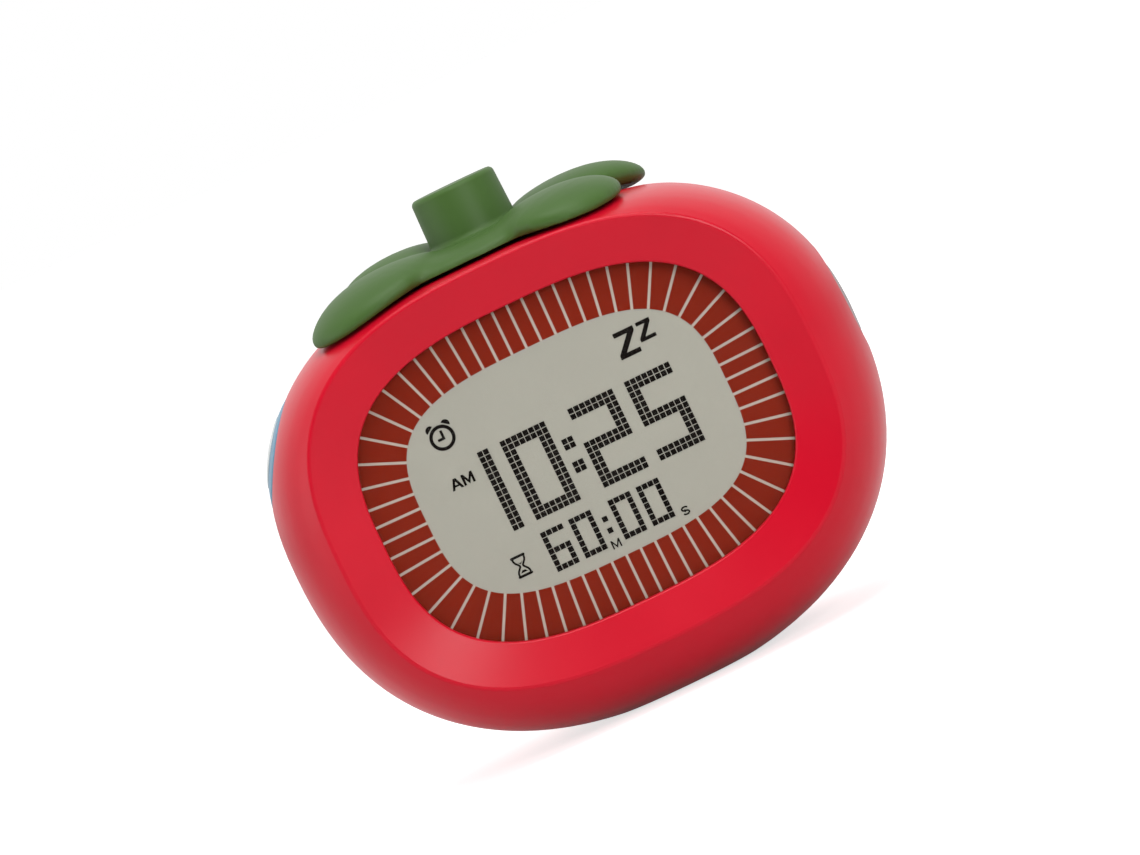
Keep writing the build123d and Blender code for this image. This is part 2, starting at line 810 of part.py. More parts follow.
def speaker():
    """Round speaker: basket, stepped magnet and rim."""
    basket = rod(speaker_radius, back_inner - 2 * speaker_rim, back_inner, 0, speaker_rise)
    magnet = rod(magnet_radius, back_inner - speaker_thickness, back_inner - 2 * speaker_rim,
                 0, speaker_rise)
    cone = rod(speaker_radius - speaker_rim, back_inner - speaker_rim, back_inner, 0, speaker_rise)
    return basket + magnet - cone


def battery_cell():
    """Round cell on X with its terminal nub, nub end at the origin and the can towards -X."""
    can_length = cell_length - cell_nub_length
    can = Pos(-cell_nub_length, 0, 0) * Rot(0, -90, 0) * Cylinder(cell_radius, can_length, align=MIN)
    can = fillet(can.edges(), cell_edge)
    return can + Rot(0, -90, 0) * Cylinder(cell_nub_radius, cell_nub_length + cell_edge, align=MIN)


def battery_door():
    """Flush door with two hinge tabs, a catch and a thumb recess."""
    door = depth_plane(0, door_inner, bay_rise) * extrude(
        RectangleRounded(door_width, door_height, door_corner), amount=door_thickness)
    low = bay_rise - door_height / 2
    tab_top = low + tab_root
    for side in (1, -1):
        x = side * tab_spacing / 2
        tab_back = back_inner - tab_gap
        door += slab(tab_width, tab_root + tab_reach, tab_back - tab_thickness, tab_back, x,
                     tab_top - (tab_root + tab_reach) / 2)
        root = bay_rise - bay_height / 2 + door_gap
        door += slab(tab_width, tab_top - root, tab_back - tab_thickness, door_inner,
                     x, (tab_top + root) / 2)
    catch_top = bay_rise + bay_height / 2 - catch_gap
    door += slab(catch_width, catch_thickness, door_inner - catch_depth, door_inner,
                 0, catch_top - catch_thickness / 2)
    grip = depth_plane(0, rear_depth - door_grip_depth, bay_rise + door_height / 2 - door_corner) * extrude(
        SlotOverall(door_grip_width, door_corner), amount=door_grip_depth)
    return door - grip


def ribbon():
    """Flat cable that sags between the main board and the control board."""
    start = Vector(0, board_back, face_height + ribbon_rise)
    end = Vector(0, control_front, face_height + ribbon_rise)
    middle = (start + end) / 2 - Vector(0, 0, ribbon_sag)
    lift = Vector(0, 0, ribbon_thickness)
    band = make_face([ThreePointArc(start, middle, end), Line(end, end + lift),
                      ThreePointArc(end + lift, middle + lift, start + lift), Line(start + lift, start)])
    return extrude(band, amount=ribbon_width / 2, dir=(1, 0, 0), both=True)


# The nodes, from the shells inwards
save("front_housing", front_housing())
save("rear_housing", rear_housing())
save("base_pad", extrude(Ellipse(pad_width / 2, pad_depth / 2), amount=pad_thickness))

save("display_lens", oval_plate(window_width + 2 * lens_overlap, window_height + 2 * lens_overlap,
                                bezel_back, lens_back))
save("lcd_gasket", oval_plate(window_width + 2 * gasket_overlap, window_height + 2 * gasket_overlap,
                              lens_back, panel_front)
     - oval_plate(window_width + 2 * gasket_setback, window_height + 2 * gasket_setback,
                  lens_back, panel_front))
save("lcd_panel", cut_plate(0, panel_front, panel_back))
save("lcd_holder", lcd_holder())
save("light_guide", slab(guide_width, guide_height, panel_back + guide_setback,
                         panel_back + guide_setback + guide_thickness))
save("contact_strips", *[slab(strip_length, strip_width, panel_back, board_front, 0, side * strip_offset)
                         for side in (1, -1)])

save("main_board", main_board())
chip_ball = (chip_radius ** 2 + chip_height ** 2) / (2 * chip_height)
save("controller_chip", depth_plane(chip_x, board_back, chip_z) * (
    Pos(0, 0, chip_height - chip_ball) * Sphere(chip_ball) & Cylinder(chip_radius, chip_height, align=MIN)))
save("crystal", depth_plane(crystal_x, board_back + crystal_radius, crystal_z) * Rot(0, 90, 0)
     * Cylinder(crystal_radius, crystal_length))
save("board_screws", *[screw(screw_radius, screw_length, screw_head_radius, screw_head_height,
                             depth_plane(x, board_back, rise)) for x, rise in board_spots()])
save("housing_screws", *[screw(housing_screw_radius, housing_screw_length - boss_gap, housing_head_radius,
                               housing_head_height, depth_plane(x, housing_screw_seat, rise))
                         for x, rise in screw_spots()])

save("stem_cap", stem_cap())
save("cap_clip", cap_clip())
save("cap_spring", Pos(0, 0, face_height + bush_rise) * coil(
    spring_radius, spring_wire, spring_turns, spring_pocket_roof))
save("cap_guide", cap_guide())
cap_seat = Pos(0, 0, face_height + cap_board_rise)
save("cap_switch_board", cap_seat * Box(cap_board_width, cap_board_depth, board_thickness,
                                        align=(Align.CENTER, Align.CENTER, Align.MAX)))
save("cap_switch", tact_switch(Plane(origin=(0, 0, face_height + cap_board_rise))))

for colour, key_plane, key_inset, inlay_inset in (
        ("blue", blue_plane, blue_key_inset, blue_inlay_inset),
        ("grey", grey_plane, grey_key_inset, grey_inlay_inset)):
    save(f"{colour}_key", side_key(key_plane, key_inset))
    save(f"{colour}_key_inlay", side_inlay(key_plane, inlay_inset, key_inset))
    save(f"{colour}_switch_board", side_board(key_plane))
    save(f"{colour}_switch", tact_switch(side_switch_seat(key_plane)))

save("control_board", control_board())
save("key_switches",
     *[tact_switch(depth_plane(x, control_back, rear_key_rise)) for x in rear_key_spots.values()])
control_spots = [Plane(origin=(side * control_boss_x, control_front, face_height + rear_key_rise),
                       z_dir=(0, -1, 0)) for side in (1, -1)]
save("control_screws", *[screw(screw_radius, screw_length, screw_head_radius, screw_head_height, spot)
                         for spot in control_spots])
for node, x in rear_key_spots.items():
    save(node, depth_plane(x, back_inner, rear_key_rise) * rear_key())
save("slide_switch", slab(slide_body_length, slide_body_width, control_back,
                          control_back + slide_body_height, slide_x + slide_travel / 2, rear_key_rise))
save("slide_knob", slide_knob())
save("speaker", speaker())
save("ribbon_cable", ribbon())

bay_end = bay_length / 2 - contact_thickness
cell_depth = bay_floor + cell_floor_gap + cell_radius
cell_spots = [(side, Vector(0, cell_depth, face_height + bay_rise + side * cell_pitch / 2))
              for side in (1, -1)]
save("battery_cells", *[Pos(*spot) * Rot(0, 0, 90 - 90 * side) * Pos(bay_end, 0, 0) * battery_cell()
                        for side, spot in cell_spots])
spring_length = bay_end * 2 - cell_length
contact_spring = Pos(-bay_end, 0, 0) * Rot(0, 90, 0) * coil(
    contact_spring_radius, contact_spring_wire, contact_spring_turns, spring_length)
save("battery_springs",
     *[Pos(*spot) * Rot(0, 0, 90 - 90 * side) * contact_spring for side, spot in cell_spots])
plate_spot = Pos(bay_length / 2, cell_depth, face_height + bay_rise)
bridge = plate_spot * Box(contact_thickness, contact_width, contact_width + cell_pitch,
                          align=(Align.MAX, Align.CENTER, Align.CENTER))
ends = [Pos(-bay_length / 2, spot.Y, spot.Z) * Box(contact_thickness, contact_width, contact_width,
                                                  align=(Align.MIN, Align.CENTER, Align.CENTER))
        for side, spot in cell_spots]
save("contact_plates", bridge, *ends)
save("battery_door", battery_door())
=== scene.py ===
import json
from math import cos, pi, radians, sin
from typing import NamedTuple

import bmesh
import bpy
from bpy.props import FloatProperty, FloatVectorProperty, IntProperty, PointerProperty
from bpy.types import NodeSocket, Operator, Panel, PropertyGroup
from mathutils import Matrix, Vector


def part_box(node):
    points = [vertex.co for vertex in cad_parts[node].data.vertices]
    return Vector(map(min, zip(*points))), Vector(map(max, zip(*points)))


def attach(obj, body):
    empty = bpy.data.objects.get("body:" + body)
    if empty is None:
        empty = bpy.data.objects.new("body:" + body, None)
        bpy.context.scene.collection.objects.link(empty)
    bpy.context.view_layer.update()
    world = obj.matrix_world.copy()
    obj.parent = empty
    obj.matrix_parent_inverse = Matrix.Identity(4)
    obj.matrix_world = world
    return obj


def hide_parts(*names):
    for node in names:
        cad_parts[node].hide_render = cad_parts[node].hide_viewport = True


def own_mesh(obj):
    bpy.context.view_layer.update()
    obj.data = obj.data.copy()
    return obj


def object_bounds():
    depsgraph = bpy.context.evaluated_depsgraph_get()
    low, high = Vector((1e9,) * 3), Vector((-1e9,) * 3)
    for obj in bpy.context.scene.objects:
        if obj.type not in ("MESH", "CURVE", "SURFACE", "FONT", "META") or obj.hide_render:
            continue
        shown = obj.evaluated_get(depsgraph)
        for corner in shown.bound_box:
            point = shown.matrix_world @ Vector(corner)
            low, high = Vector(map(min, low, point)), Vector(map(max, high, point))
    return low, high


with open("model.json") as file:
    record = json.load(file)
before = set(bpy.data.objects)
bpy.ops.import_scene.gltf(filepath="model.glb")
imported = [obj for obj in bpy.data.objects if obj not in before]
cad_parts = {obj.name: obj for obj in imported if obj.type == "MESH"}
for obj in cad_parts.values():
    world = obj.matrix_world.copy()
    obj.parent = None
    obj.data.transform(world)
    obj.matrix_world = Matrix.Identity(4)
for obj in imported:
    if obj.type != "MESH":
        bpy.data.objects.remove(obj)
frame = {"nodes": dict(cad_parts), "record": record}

bl_info = {
    "name": "Tomato visual timer",
    "version": (1, 0, 0),
    "blender": (4, 5, 0),
    "location": "View3D > Sidebar > Timer",
    "description": "Finishes the timer's moulded pieces, draws its display and sets its stage",
    "category": "Object",
}

CAD_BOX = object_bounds()
NODES = frame["nodes"]
JOINTS = {joint["name"]: joint for joint in frame["record"]["behaviour"]["joints"]}
PANEL_LOW, PANEL_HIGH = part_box("lcd_panel")
FACE_Y = PANEL_LOW.y
FACE_Z = (PANEL_LOW.z + PANEL_HIGH.z) / 2
MM = 0.001

# Calyx: shares of the blend radius, smoothing passes, and steps of a turned shape
BLEND_SHARES = (1.0, 0.9, 0.8, 0.7)
BLEND_PASSES = 16
SKIN_PASSES = 14
SMOOTHING = 0.5
TURN_STEPS = 72
BALL_STEPS = (64, 32)

# Stem and skirt reach this far down into the lobes
SUNK = 1.0 * MM

# The crown's recess counts as filled up to this far past the skirt
RECESS_EDGE = 0.9 * MM

# Merging of points on a turned shape's axis and in copies of CAD meshes
NEAR_AXIS = 0.02 * MM
MERGE_AXIS = 0.01 * MM
MERGE_COPY = 0.002 * MM

# Faces of the blue key that look outward, and the angle that stays a sharp edge
OUTWARD = 0.5
SHARP_EDGE = radians(35)

# Unit of the drawing on the display, which counts from the middle of the face
ART = 0.1583 * MM

# Lit bars of each digit
BARS = {"0": "abcdef", "1": "ef", "2": "abged", "5": "afgcd", "6": "afgecd"}


class DotRow(NamedTuple):
    """Row of dotted digits: left, top, pitch and size of a dot; columns, rows and stroke of a digit;
    the digits, each with its first column; columns and rows of the colon."""

    place: tuple
    cells: tuple
    digits: tuple
    colon: tuple


DOT_ROWS = {
    "clock_digits": DotRow(
        (-91.3, 42.3, 6.27, 5.45), (8, 14, 2),
        (("1", 0), ("0", 4), ("2", 16), ("5", 26)), ((13, 14), (4, 5, 8, 9))),
    "countdown_digits": DotRow(
        (-69.4, -57.9, 6.25, 5.5), (4, 7, 1),
        (("6", 0), ("0", 5), ("0", 12), ("0", 17)), ((10,), (2, 4))),
}

# Letters: left, foot, width, height and stroke
MORNING_A = (-128.9, 17.1, 12.6, 11.6, 2.5)
MORNING_M = (-115.6, 17.1, 12.2, 11.6, 2.5)
MINUTES_M = (-9.0, -105.2, 9.6, 9.0, 1.5)
SECONDS_S = (68.6, -105.4, 8.2, 9.4, 1.6)

# Letter shapes: shares of the stroke or the height, and the sweep of a bow in degrees
A_FOOT = 0.55
A_TOP = 0.62
A_BAR_HEIGHT = 0.32
A_BAR_STROKE = 0.75
M_BEND = 1.9
S_START = 20
S_SWEEP = 250
MITRE_LIMIT = 0.4

# Signs of the display, in the drawing's unit, turns in degrees
ALARM_CENTRE = (-114.9, 70.6)
ALARM_OUTER = 13.2
ALARM_INNER = 9.7
ALARM_HUB = (1.0, -1.2)
ALARM_STROKE = 2.7
ALARM_MINUTE_HAND = (0, 8.6)
ALARM_HOUR_HAND = (-6.4, 0)
BELL_TURNS = (54, 126)
BELL_REACH = 14.4
BELL_HALF = 4.6
BELL_HEIGHT = 4.4
BELL_STEPS = 12

HOURGLASS_MIDDLE = (-99.3, -79.6)
HOURGLASS_STROKE = 2.0
HOURGLASS_CAP = ((-7.0, 11.4), (-7.9, 10.6), (-7.9, 9.6), (-7.0, 8.8),
                 (7.0, 8.8), (7.9, 9.6), (7.9, 10.6), (7.0, 11.4))
HOURGLASS_SIDE = ((6.2, 9.4), (6.0, 6.6), (5.0, 4.4), (2.0, 1.0), (1.7, 0.0),
                  (2.0, -1.0), (5.0, -4.4), (6.0, -6.6), (6.2, -9.4))
HOURGLASS_SANDS = (((-2.6, 4.4), (0.0, 1.6), (2.6, 4.4), (0.0, 3.2)),
                   ((-3.9, -7.0), (3.9, -7.0), (1.4, -4.6), (-1.4, -4.6)))

LARGE_Z = ((82.4, 90.2), (104.6, 90.2), (104.4, 85.4), (88.2, 67.4), (102.8, 67.4),
           (102.4, 62.6), (80.2, 62.6), (80.4, 67.2), (96.6, 85.4), (82.6, 85.4))
SMALL_Z = ((107.6, 90.6), (122.8, 90.6), (122.6, 86.9), (111.8, 74.0), (122.8, 74.0),
           (122.7, 70.3), (105.6, 70.3), (105.7, 73.7), (116.6, 86.8), (107.8, 86.8))

# Search for the ring's edge: farthest reach in metres and halvings
RING_REACH = 0.02
RING_HALVINGS = 40

# Lamps: name, direction from the middle of the body, distance and width in metres
LAMPS = (
    ("key_lamp", (0.424, -0.832, 0.358), 0.95, 0.34),
    ("fill_lamp", (-0.93, -0.25, 0.25), 1.1, 0.9),
    ("top_lamp", (0.12, -0.40, 0.91), 1.1, 0.8),
)

# Surroundings grow from dim in front to bright behind, between these depths
DIM = 0.04
BRIGHT = 1.0
LIGHT_DEPTHS = (-0.5, 0.5)
MIRRORED_DEPTHS = (-0.9, 0.2)

# Floor: half its width in metres, its tone, and the glow that the camera and mirrored rays see
FLOOR_HALF = 30.0
FLOOR_TONE = (0.66, 0.66, 0.66, 1)
FLOOR_GLOW = 0.70
FLOOR_MIRRORED = 0.2
WHITE = (1, 1, 1, 1)

# Camera: picture's width and the object's shift in it in pixels, sensor in millimetres, clipping in metres
PICTURE_WIDTH = 1140
PICTURE_SHIFT = (6.5, 23.5)
SENSOR_WIDTH = 36.0
CLIP_START = 0.05
CLIP_END = 100.0


class Plastic(NamedTuple):
    """Surface of a moulding: roughness range, tone contrast, grain scale, grain depth and specular level."""

    gloss: tuple = (0.36, 0.46)
    contrast: float = 0.06
    grain: float = 3800.0
    depth: float = 0.12
    specular: float = 0.5


PLASTICS = {
    "tomato_red": Plastic((0.28, 0.36), 0.035, 3600.0, 0.05, 0.24),
    "pad_rubber": Plastic((0.7, 0.85), 0.2, 1500.0, 0.5, 0.3),
    "leaf_green": Plastic((0.44, 0.53), 0.06, 3000.0, 0.12, 0.26),
    "pale_plastic": Plastic((0.38, 0.5), 0.04, 4200.0, 0.1),
    "dark_plastic": Plastic((0.45, 0.6), 0.2, 2600.0, 0.2),
    "gasket_foam": Plastic((0.8, 0.95), 0.2, 1800.0, 0.4, 0.2),
    "minute_red": Plastic((0.42, 0.52), 0.06, 2500.0, 0.05, 0.03),
    "ring_pale": Plastic((0.5, 0.6), 0.04, 2500.0, 0.05, 0.05),
    "display_ink": Plastic((0.42, 0.55), 0.25, 2500.0, 0.05, 0.03),
    "chip_resin": Plastic((0.2, 0.35), 0.3, 1800.0, 0.3),
    "white_plastic": Plastic((0.45, 0.6), 0.04, 3200.0, 0.15),
    "contact_rubber": Plastic((0.7, 0.85), 0.1, 1500.0, 0.3, 0.3),
    "speaker_metal": Plastic((0.4, 0.6), 0.2, 2200.0, 0.3),
    "cell_wrap": Plastic((0.25, 0.35), 0.08, 2500.0, 0.08),
    "ribbon_grey": Plastic((0.5, 0.65), 0.08, 1600.0, 0.25),
}

# Pieces that are hidden or hardly seen: material, colour and nodes
PLAIN_PLASTICS = (
    ("chip_resin", (0.010, 0.010, 0.011), ("controller_chip",)),
    ("white_plastic", (0.74, 0.74, 0.72), ("lcd_holder", "cap_guide")),
    ("contact_rubber", (0.42, 0.18, 0.18), ("contact_strips",)),
    ("speaker_metal", (0.055, 0.055, 0.058), ("speaker",)),
    ("cell_wrap", (0.20, 0.21, 0.23), ("battery_cells",)),
    ("ribbon_grey", (0.40, 0.40, 0.41), ("ribbon_cable",)),
)

# Dark colours that have no setting
PAD_BLACK = (0.022, 0.022, 0.022)
SWITCH_BLACK = (0.018, 0.018, 0.020)
FOAM_BLACK = (0.016, 0.015, 0.015)

# Metals: material, colour, roughness range and nodes
METALS = (
    ("plated_steel", (0.62, 0.62, 0.61), (0.22, 0.38),
     ("crystal", "board_screws", "housing_screws", "control_screws", "cap_clip")),
    ("spring_wire", (0.55, 0.54, 0.53), (0.25, 0.4), ("cap_spring", "battery_springs")),
    ("contact_metal", (0.66, 0.63, 0.56), (0.2, 0.34), ("contact_plates",)),
)

# Boards and switches
MASK_GREEN = (0.012, 0.110, 0.035)
BOARDS = ("main_board", "control_board", "cap_switch_board", "blue_switch_board", "grey_switch_board")
SWITCHES = ("slide_knob", "slide_switch", "key_switches", "cap_switch", "blue_switch", "grey_switch")


def colour_prop(name, words, default):
    """Colour of one finish."""
    return FloatVectorProperty(
        name=name, description=words, subtype="COLOR", size=3, min=0, max=1, default=default)


def length_prop(name, words, millimetres):
    """Length in metres, its default in millimetres."""
    return FloatProperty(
        name=name, description=words, unit="LENGTH", subtype="DISTANCE", precision=5,
        default=millimetres * MM)


def angle_prop(name, words, degrees):
    """Angle, its default in degrees."""
    return FloatProperty(name=name, description=words, subtype="ANGLE", default=radians(degrees))


def power_prop(name, words, watts):
    """Power of a lamp."""
    return FloatProperty(name=name, description=words, unit="POWER", default=watts)


def number_prop(name, words, default):
    """Number without a unit."""
    return FloatProperty(name=name, description=words, default=default)


class TimerFinish(PropertyGroup):
    """Colours of the timer's mouldings and parts."""

    tomato_red: colour_prop("Tomato red", "Shells, bezel and battery door", (0.570, 0.0028, 0.0185))
    leaf_green: colour_prop("Leaf green", "Calyx and stem cap", (0.052, 0.114, 0.022))
    key_blue: colour_prop("Key blue", "Round key on the left", (0.120, 0.270, 0.400))
    key_grey: colour_prop("Key grey", "Round key on the right", (0.330, 0.270, 0.270))
    centre_grey: colour_prop("Centre grey", "Middle of the round key on the right", (0.270, 0.215, 0.215))
    pale: colour_prop("Pale plastic", "Blue key's centre and rear keys", (0.660, 0.690, 0.680))
    display_ground: colour_prop("Display ground", "Reflector behind the crystal", (0.440, 0.432, 0.366))
    display_ink: colour_prop("Display ink", "Dark dots, letters and signs", (0.0065, 0.0046, 0.0036))
    minute_red: colour_prop("Minute red", "Segments of the minute ring", (0.238, 0.0175, 0.0055))
    ring_pale: colour_prop("Ring pale", "Lines between the minute segments", (0.560, 0.500, 0.415))


class TimerLeaf(PropertyGroup):
    """Sizes of the calyx and its stem."""

    front_left: length_prop("Front left", "Tip of the front left lobe from the stem's axis", 33.3)
    front_right: length_prop("Front right", "Tip of the front right lobe from the stem's axis", 28.4)
    back_left: length_prop("Back left", "Tip of the back left lobe from the stem's axis", 27.4)
    back_right: length_prop("Back right", "Tip of the back right lobe from the stem's axis", 31.6)
    front_left_turn: angle_prop("Front left turn", "Way of the front left lobe from the right", 207)
    front_right_turn: angle_prop("Front right turn", "Way of the front right lobe from the right", 322)
    back_left_turn: angle_prop("Back left turn", "Way of the back left lobe from the right", 150)
    back_right_turn: angle_prop("Back right turn", "Way of the back right lobe from the right", 25)
    root: length_prop("Root", "Inner end of the lobes and of the hub from the stem's axis", 6.2)
    front_width: length_prop("Front width", "Half the width of a front lobe", 11.0)
    front_height: length_prop("Front height", "Half the height of a front lobe", 3.5)
    front_lift: length_prop("Front lift", "Middle of a front lobe above the gap", 1.1)
    back_width: length_prop("Back width", "Half the width of a back lobe", 10.0)
    back_height: length_prop("Back height", "Half the height of a back lobe", 3.4)
    back_lift: length_prop("Back lift", "Middle of a back lobe above the gap", 1.9)
    bridge_reach: length_prop("Bridge reach", "Middle of the bridge between the front lobes, forward", 12.5)
    bridge_half: length_prop("Bridge half", "Half the width of that bridge", 17.0)
    bridge_depth: length_prop("Bridge depth", "Half the depth of that bridge", 6.0)
    bridge_height: length_prop("Bridge height", "Half the height of that bridge", 2.6)
    hub_radius: length_prop("Hub radius", "Ring that joins the lobes", 14.2)
    hub_height: length_prop("Hub height", "Thickness of that ring", 2.5)
    blend_radius: length_prop("Blend radius", "Saddles between the lobes are smoothed within this", 22.0)
    gap: length_prop("Gap", "Clear height over the shells, more than the cap's travel", 0.72)
    voxel: length_prop("Voxel", "Grid on which the lobes grow together", 0.42)
    stem_radius: length_prop("Stem radius", "Stem at its foot", 7.45)
    stem_taper: length_prop("Stem taper", "Loss of radius up to the top", 0.2)
    stem_round: length_prop("Stem round", "Rounding at the stem's top", 0.9)
    stem_flare: length_prop("Stem flare", "Rounding at the stem's foot", 1.2)
    skirt_radius: length_prop("Skirt radius", "Skirt that dips into the crown's recess", 9.8)
    skirt_wall: length_prop("Skirt wall", "Wall of that skirt", 1.6)
    skirt_drop: length_prop("Skirt drop", "Depth of that skirt below the crown", 0.6)
    pocket_radius: length_prop("Pocket radius", "Spring's pocket in the stem", 5.4)
    post_radius: length_prop("Post radius", "Post in its guide, inside the guide's flats", 2.35)
    post_head: length_prop("Post head", "End of the post under its clip", 3.2)


class TimerKeys(PropertyGroup):
    """Dome of the blue key."""

    radius: length_prop("Radius", "Outer radius of the key", 9.4)
    depth: length_prop("Depth", "Outer face lies no deeper than this below the key's middle", 3.0)
    rise: length_prop("Rise", "Lift of the whole outer face", 0.5)
    dome: length_prop("Dome", "Further lift at its middle", 0.4)
    centre_drop: length_prop("Centre drop", "Pale centre sits this much deeper", 0.25)


class TimerDisplay(PropertyGroup):
    """Sizes of the drawing on the display."""

    ring_half_width: length_prop("Ring half width", "Inner edge of the minute ring, across", 26.28)
    ring_half_height: length_prop("Ring half height", "Inner edge of the minute ring, up", 18.25)
    ring_power: number_prop("Ring power", "Squareness of the ring's inner edge", 3.22)
    edge_half_width: length_prop("Edge half width", "Outer edge of the minute ring, across", 34.15)
    edge_half_height: length_prop("Edge half height", "Outer edge of the minute ring, up", 26.05)
    edge_power: number_prop("Edge power", "Squareness of the ring's outer edge", 2.84)
    minutes: IntProperty(name="Minutes", description="Segments in the ring", default=60)
    gap: length_prop("Gap", "Clear line between two segments", 0.44)
    ink: length_prop("Ink", "Thickness of the drawn film", 0.04)


class TimerStage(PropertyGroup):
    """Camera and lamps."""

    azimuth: angle_prop("Azimuth", "Camera to the right of the face", 1.2)
    elevation: angle_prop("Elevation", "Camera above the face", 4)
    roll: angle_prop("Roll", "Turn of the object in the picture", 25.7)
    distance: length_prop("Distance", "Camera to the middle of the body", 900)
    lens: FloatProperty(name="Lens", description="Focal length", unit="CAMERA", default=176.0)
    key_power: power_prop("Key power", "Main soft lamp", 3.7)
    fill_power: power_prop("Fill power", "Large lamp at the left", 3.8)
    top_power: power_prop("Top power", "Soft lamp above, a little in front", 9.0)


# Materials


def noise(tree, vector, scale, detail=3.0, roughness=0.6):
    """Noise texture on a vector; the scale is a socket or a number."""
    node = tree.nodes.new("ShaderNodeTexNoise")
    tree.links.new(vector, node.inputs["Vector"])
    if isinstance(scale, NodeSocket):
        tree.links.new(scale, node.inputs["Scale"])
    else:
        node.inputs["Scale"].default_value = scale
    node.inputs["Detail"].default_value = detail
    node.inputs["Roughness"].default_value = roughness
    return node.outputs["Fac"]


def spread(tree, value, low, high, source=(0.3, 0.7), steps="LINEAR"):
    """Map a value to a range."""
    node = tree.nodes.new("ShaderNodeMapRange")
    node.interpolation_type = steps
    tree.links.new(value, node.inputs["Value"])
    node.inputs["From Min"].default_value = source[0]
    node.inputs["From Max"].default_value = source[1]
    node.inputs["To Min"].default_value = low
    node.inputs["To Max"].default_value = high
    return node.outputs["Result"]


def math_node(tree, operation, first, second):
    """Math on a socket and a second socket or a number."""
    node = tree.nodes.new("ShaderNodeMath")
    node.operation = operation
    tree.links.new(first, node.inputs[0])
    if isinstance(second, NodeSocket):
        tree.links.new(second, node.inputs[1])
    else:
        node.inputs[1].default_value = second
    return node.outputs["Value"]


def moulded_skin():
    """Group for moulded plastic: fine spark-eroded grain, slow tone and gloss changes."""
    found = bpy.data.node_groups.get("moulded_skin")
    if found:
        return found
    group = bpy.data.node_groups.new("moulded_skin", "ShaderNodeTree")
    for socket, kind in (("Point", "NodeSocketVector"), ("Grain", "NodeSocketFloat")):
        group.interface.new_socket(name=socket, in_out="INPUT", socket_type=kind)
    for socket in ("Height", "Tone", "Gloss"):
        group.interface.new_socket(name=socket, in_out="OUTPUT", socket_type="NodeSocketFloat")
    entry = group.nodes.new("NodeGroupInput")
    leave = group.nodes.new("NodeGroupOutput")
    point = entry.outputs["Point"]
    grain = noise(group, point, entry.outputs["Grain"], detail=2.0, roughness=0.55)
    cloud = noise(group, point, scale=55.0, detail=4.0, roughness=0.55)
    group.links.new(grain, leave.inputs["Height"])
    group.links.new(spread(group, cloud, low=0.0, high=1.0), leave.inputs["Tone"])
    grain_share = math_node(group, "MULTIPLY", grain, 0.35)
    gloss = math_node(group, "ADD", grain_share, spread(group, cloud, low=0.15, high=0.75))
    group.links.new(gloss, leave.inputs["Gloss"])
    return group


def start_material(name):
    """New node material; returns it, its tree, its Principled shader and the Object coordinates."""
    material = bpy.data.materials.new(name)
    material.use_nodes = True
    tree = material.node_tree
    shader = tree.nodes["Principled BSDF"]
    point = tree.nodes.new("ShaderNodeTexCoord").outputs["Object"]
    return material, tree, shader, point


def tint(colour, share):
    """Colour scaled by a share, with full alpha."""
    return [min(1.0, channel * share) for channel in colour] + [1.0]


def tone_mix(tree, factor, dark, light):
    """Mix of two colours by a factor socket."""
    mix = tree.nodes.new("ShaderNodeMix")
    mix.data_type = "RGBA"
    tree.links.new(factor, mix.inputs["Factor"])
    mix.inputs["A"].default_value = dark
    mix.inputs["B"].default_value = light
    return mix.outputs["Result"]


def bump(tree, shader, height, strength, distance):
    """Bump from a height socket into the shader's normal."""
    node = tree.nodes.new("ShaderNodeBump")
    node.inputs["Strength"].default_value = strength
    node.inputs["Distance"].default_value = distance
    tree.links.new(height, node.inputs["Height"])
    tree.links.new(node.outputs["Normal"], shader.inputs["Normal"])


def moulded(name, colour):
    """Moulded plastic with a fine grain, its surface from the table."""
    surface = PLASTICS.get(name, Plastic())
    material, tree, shader, point = start_material(name)
    skin = tree.nodes.new("ShaderNodeGroup")
    skin.node_tree = moulded_skin()
    skin.inputs["Grain"].default_value = surface.grain
    tree.links.new(point, skin.inputs["Point"])
    dark = tint(colour, 1 - surface.contrast)
    light = tint(colour, 1 + surface.contrast)
    tree.links.new(tone_mix(tree, skin.outputs["Tone"], dark, light), shader.inputs["Base Color"])
    gloss = spread(tree, skin.outputs["Gloss"], *surface.gloss, source=(0.2, 1.1))
    tree.links.new(gloss, shader.inputs["Roughness"])
    shader.inputs["Specular IOR Level"].default_value = surface.specular
    bump(tree, shader, skin.outputs["Height"], surface.depth, distance=0.02 * MM)
    return material


def metal(name, colour, gloss):
    """Plated or drawn metal with fine streaks."""
    material, tree, shader, point = start_material(name)
    stretch = tree.nodes.new("ShaderNodeMapping")
    stretch.inputs["Scale"].default_value = (0.12, 1.0, 1.0)
    tree.links.new(point, stretch.inputs["Vector"])
    streak = noise(tree, stretch.outputs["Vector"], scale=900.0, detail=4.0, roughness=0.7)
    tree.links.new(tone_mix(tree, streak, tint(colour, 0.85), tint(colour, 1.1)), shader.inputs["Base Color"])
    tree.links.new(spread(tree, streak, *gloss), shader.inputs["Roughness"])
    shader.inputs["Metallic"].default_value = 1.0
    bump(tree, shader, streak, strength=0.08, distance=0.01 * MM)
    return material


def clear(name, colour, alpha, roughness):
    """Clear plastic sheet with faint moulding clouds."""
    material, tree, shader, point = start_material(name)
    cloud = noise(tree, point, scale=120.0, detail=2.0)
    tree.links.new(tone_mix(tree, cloud, tint(colour, 0.97), tint(colour, 1.0)), shader.inputs["Base Color"])
    tree.links.new(spread(tree, cloud, roughness, roughness * 1.6), shader.inputs["Roughness"])
    tree.links.new(spread(tree, cloud, alpha * 0.92, alpha * 1.08), shader.inputs["Alpha"])
    return material


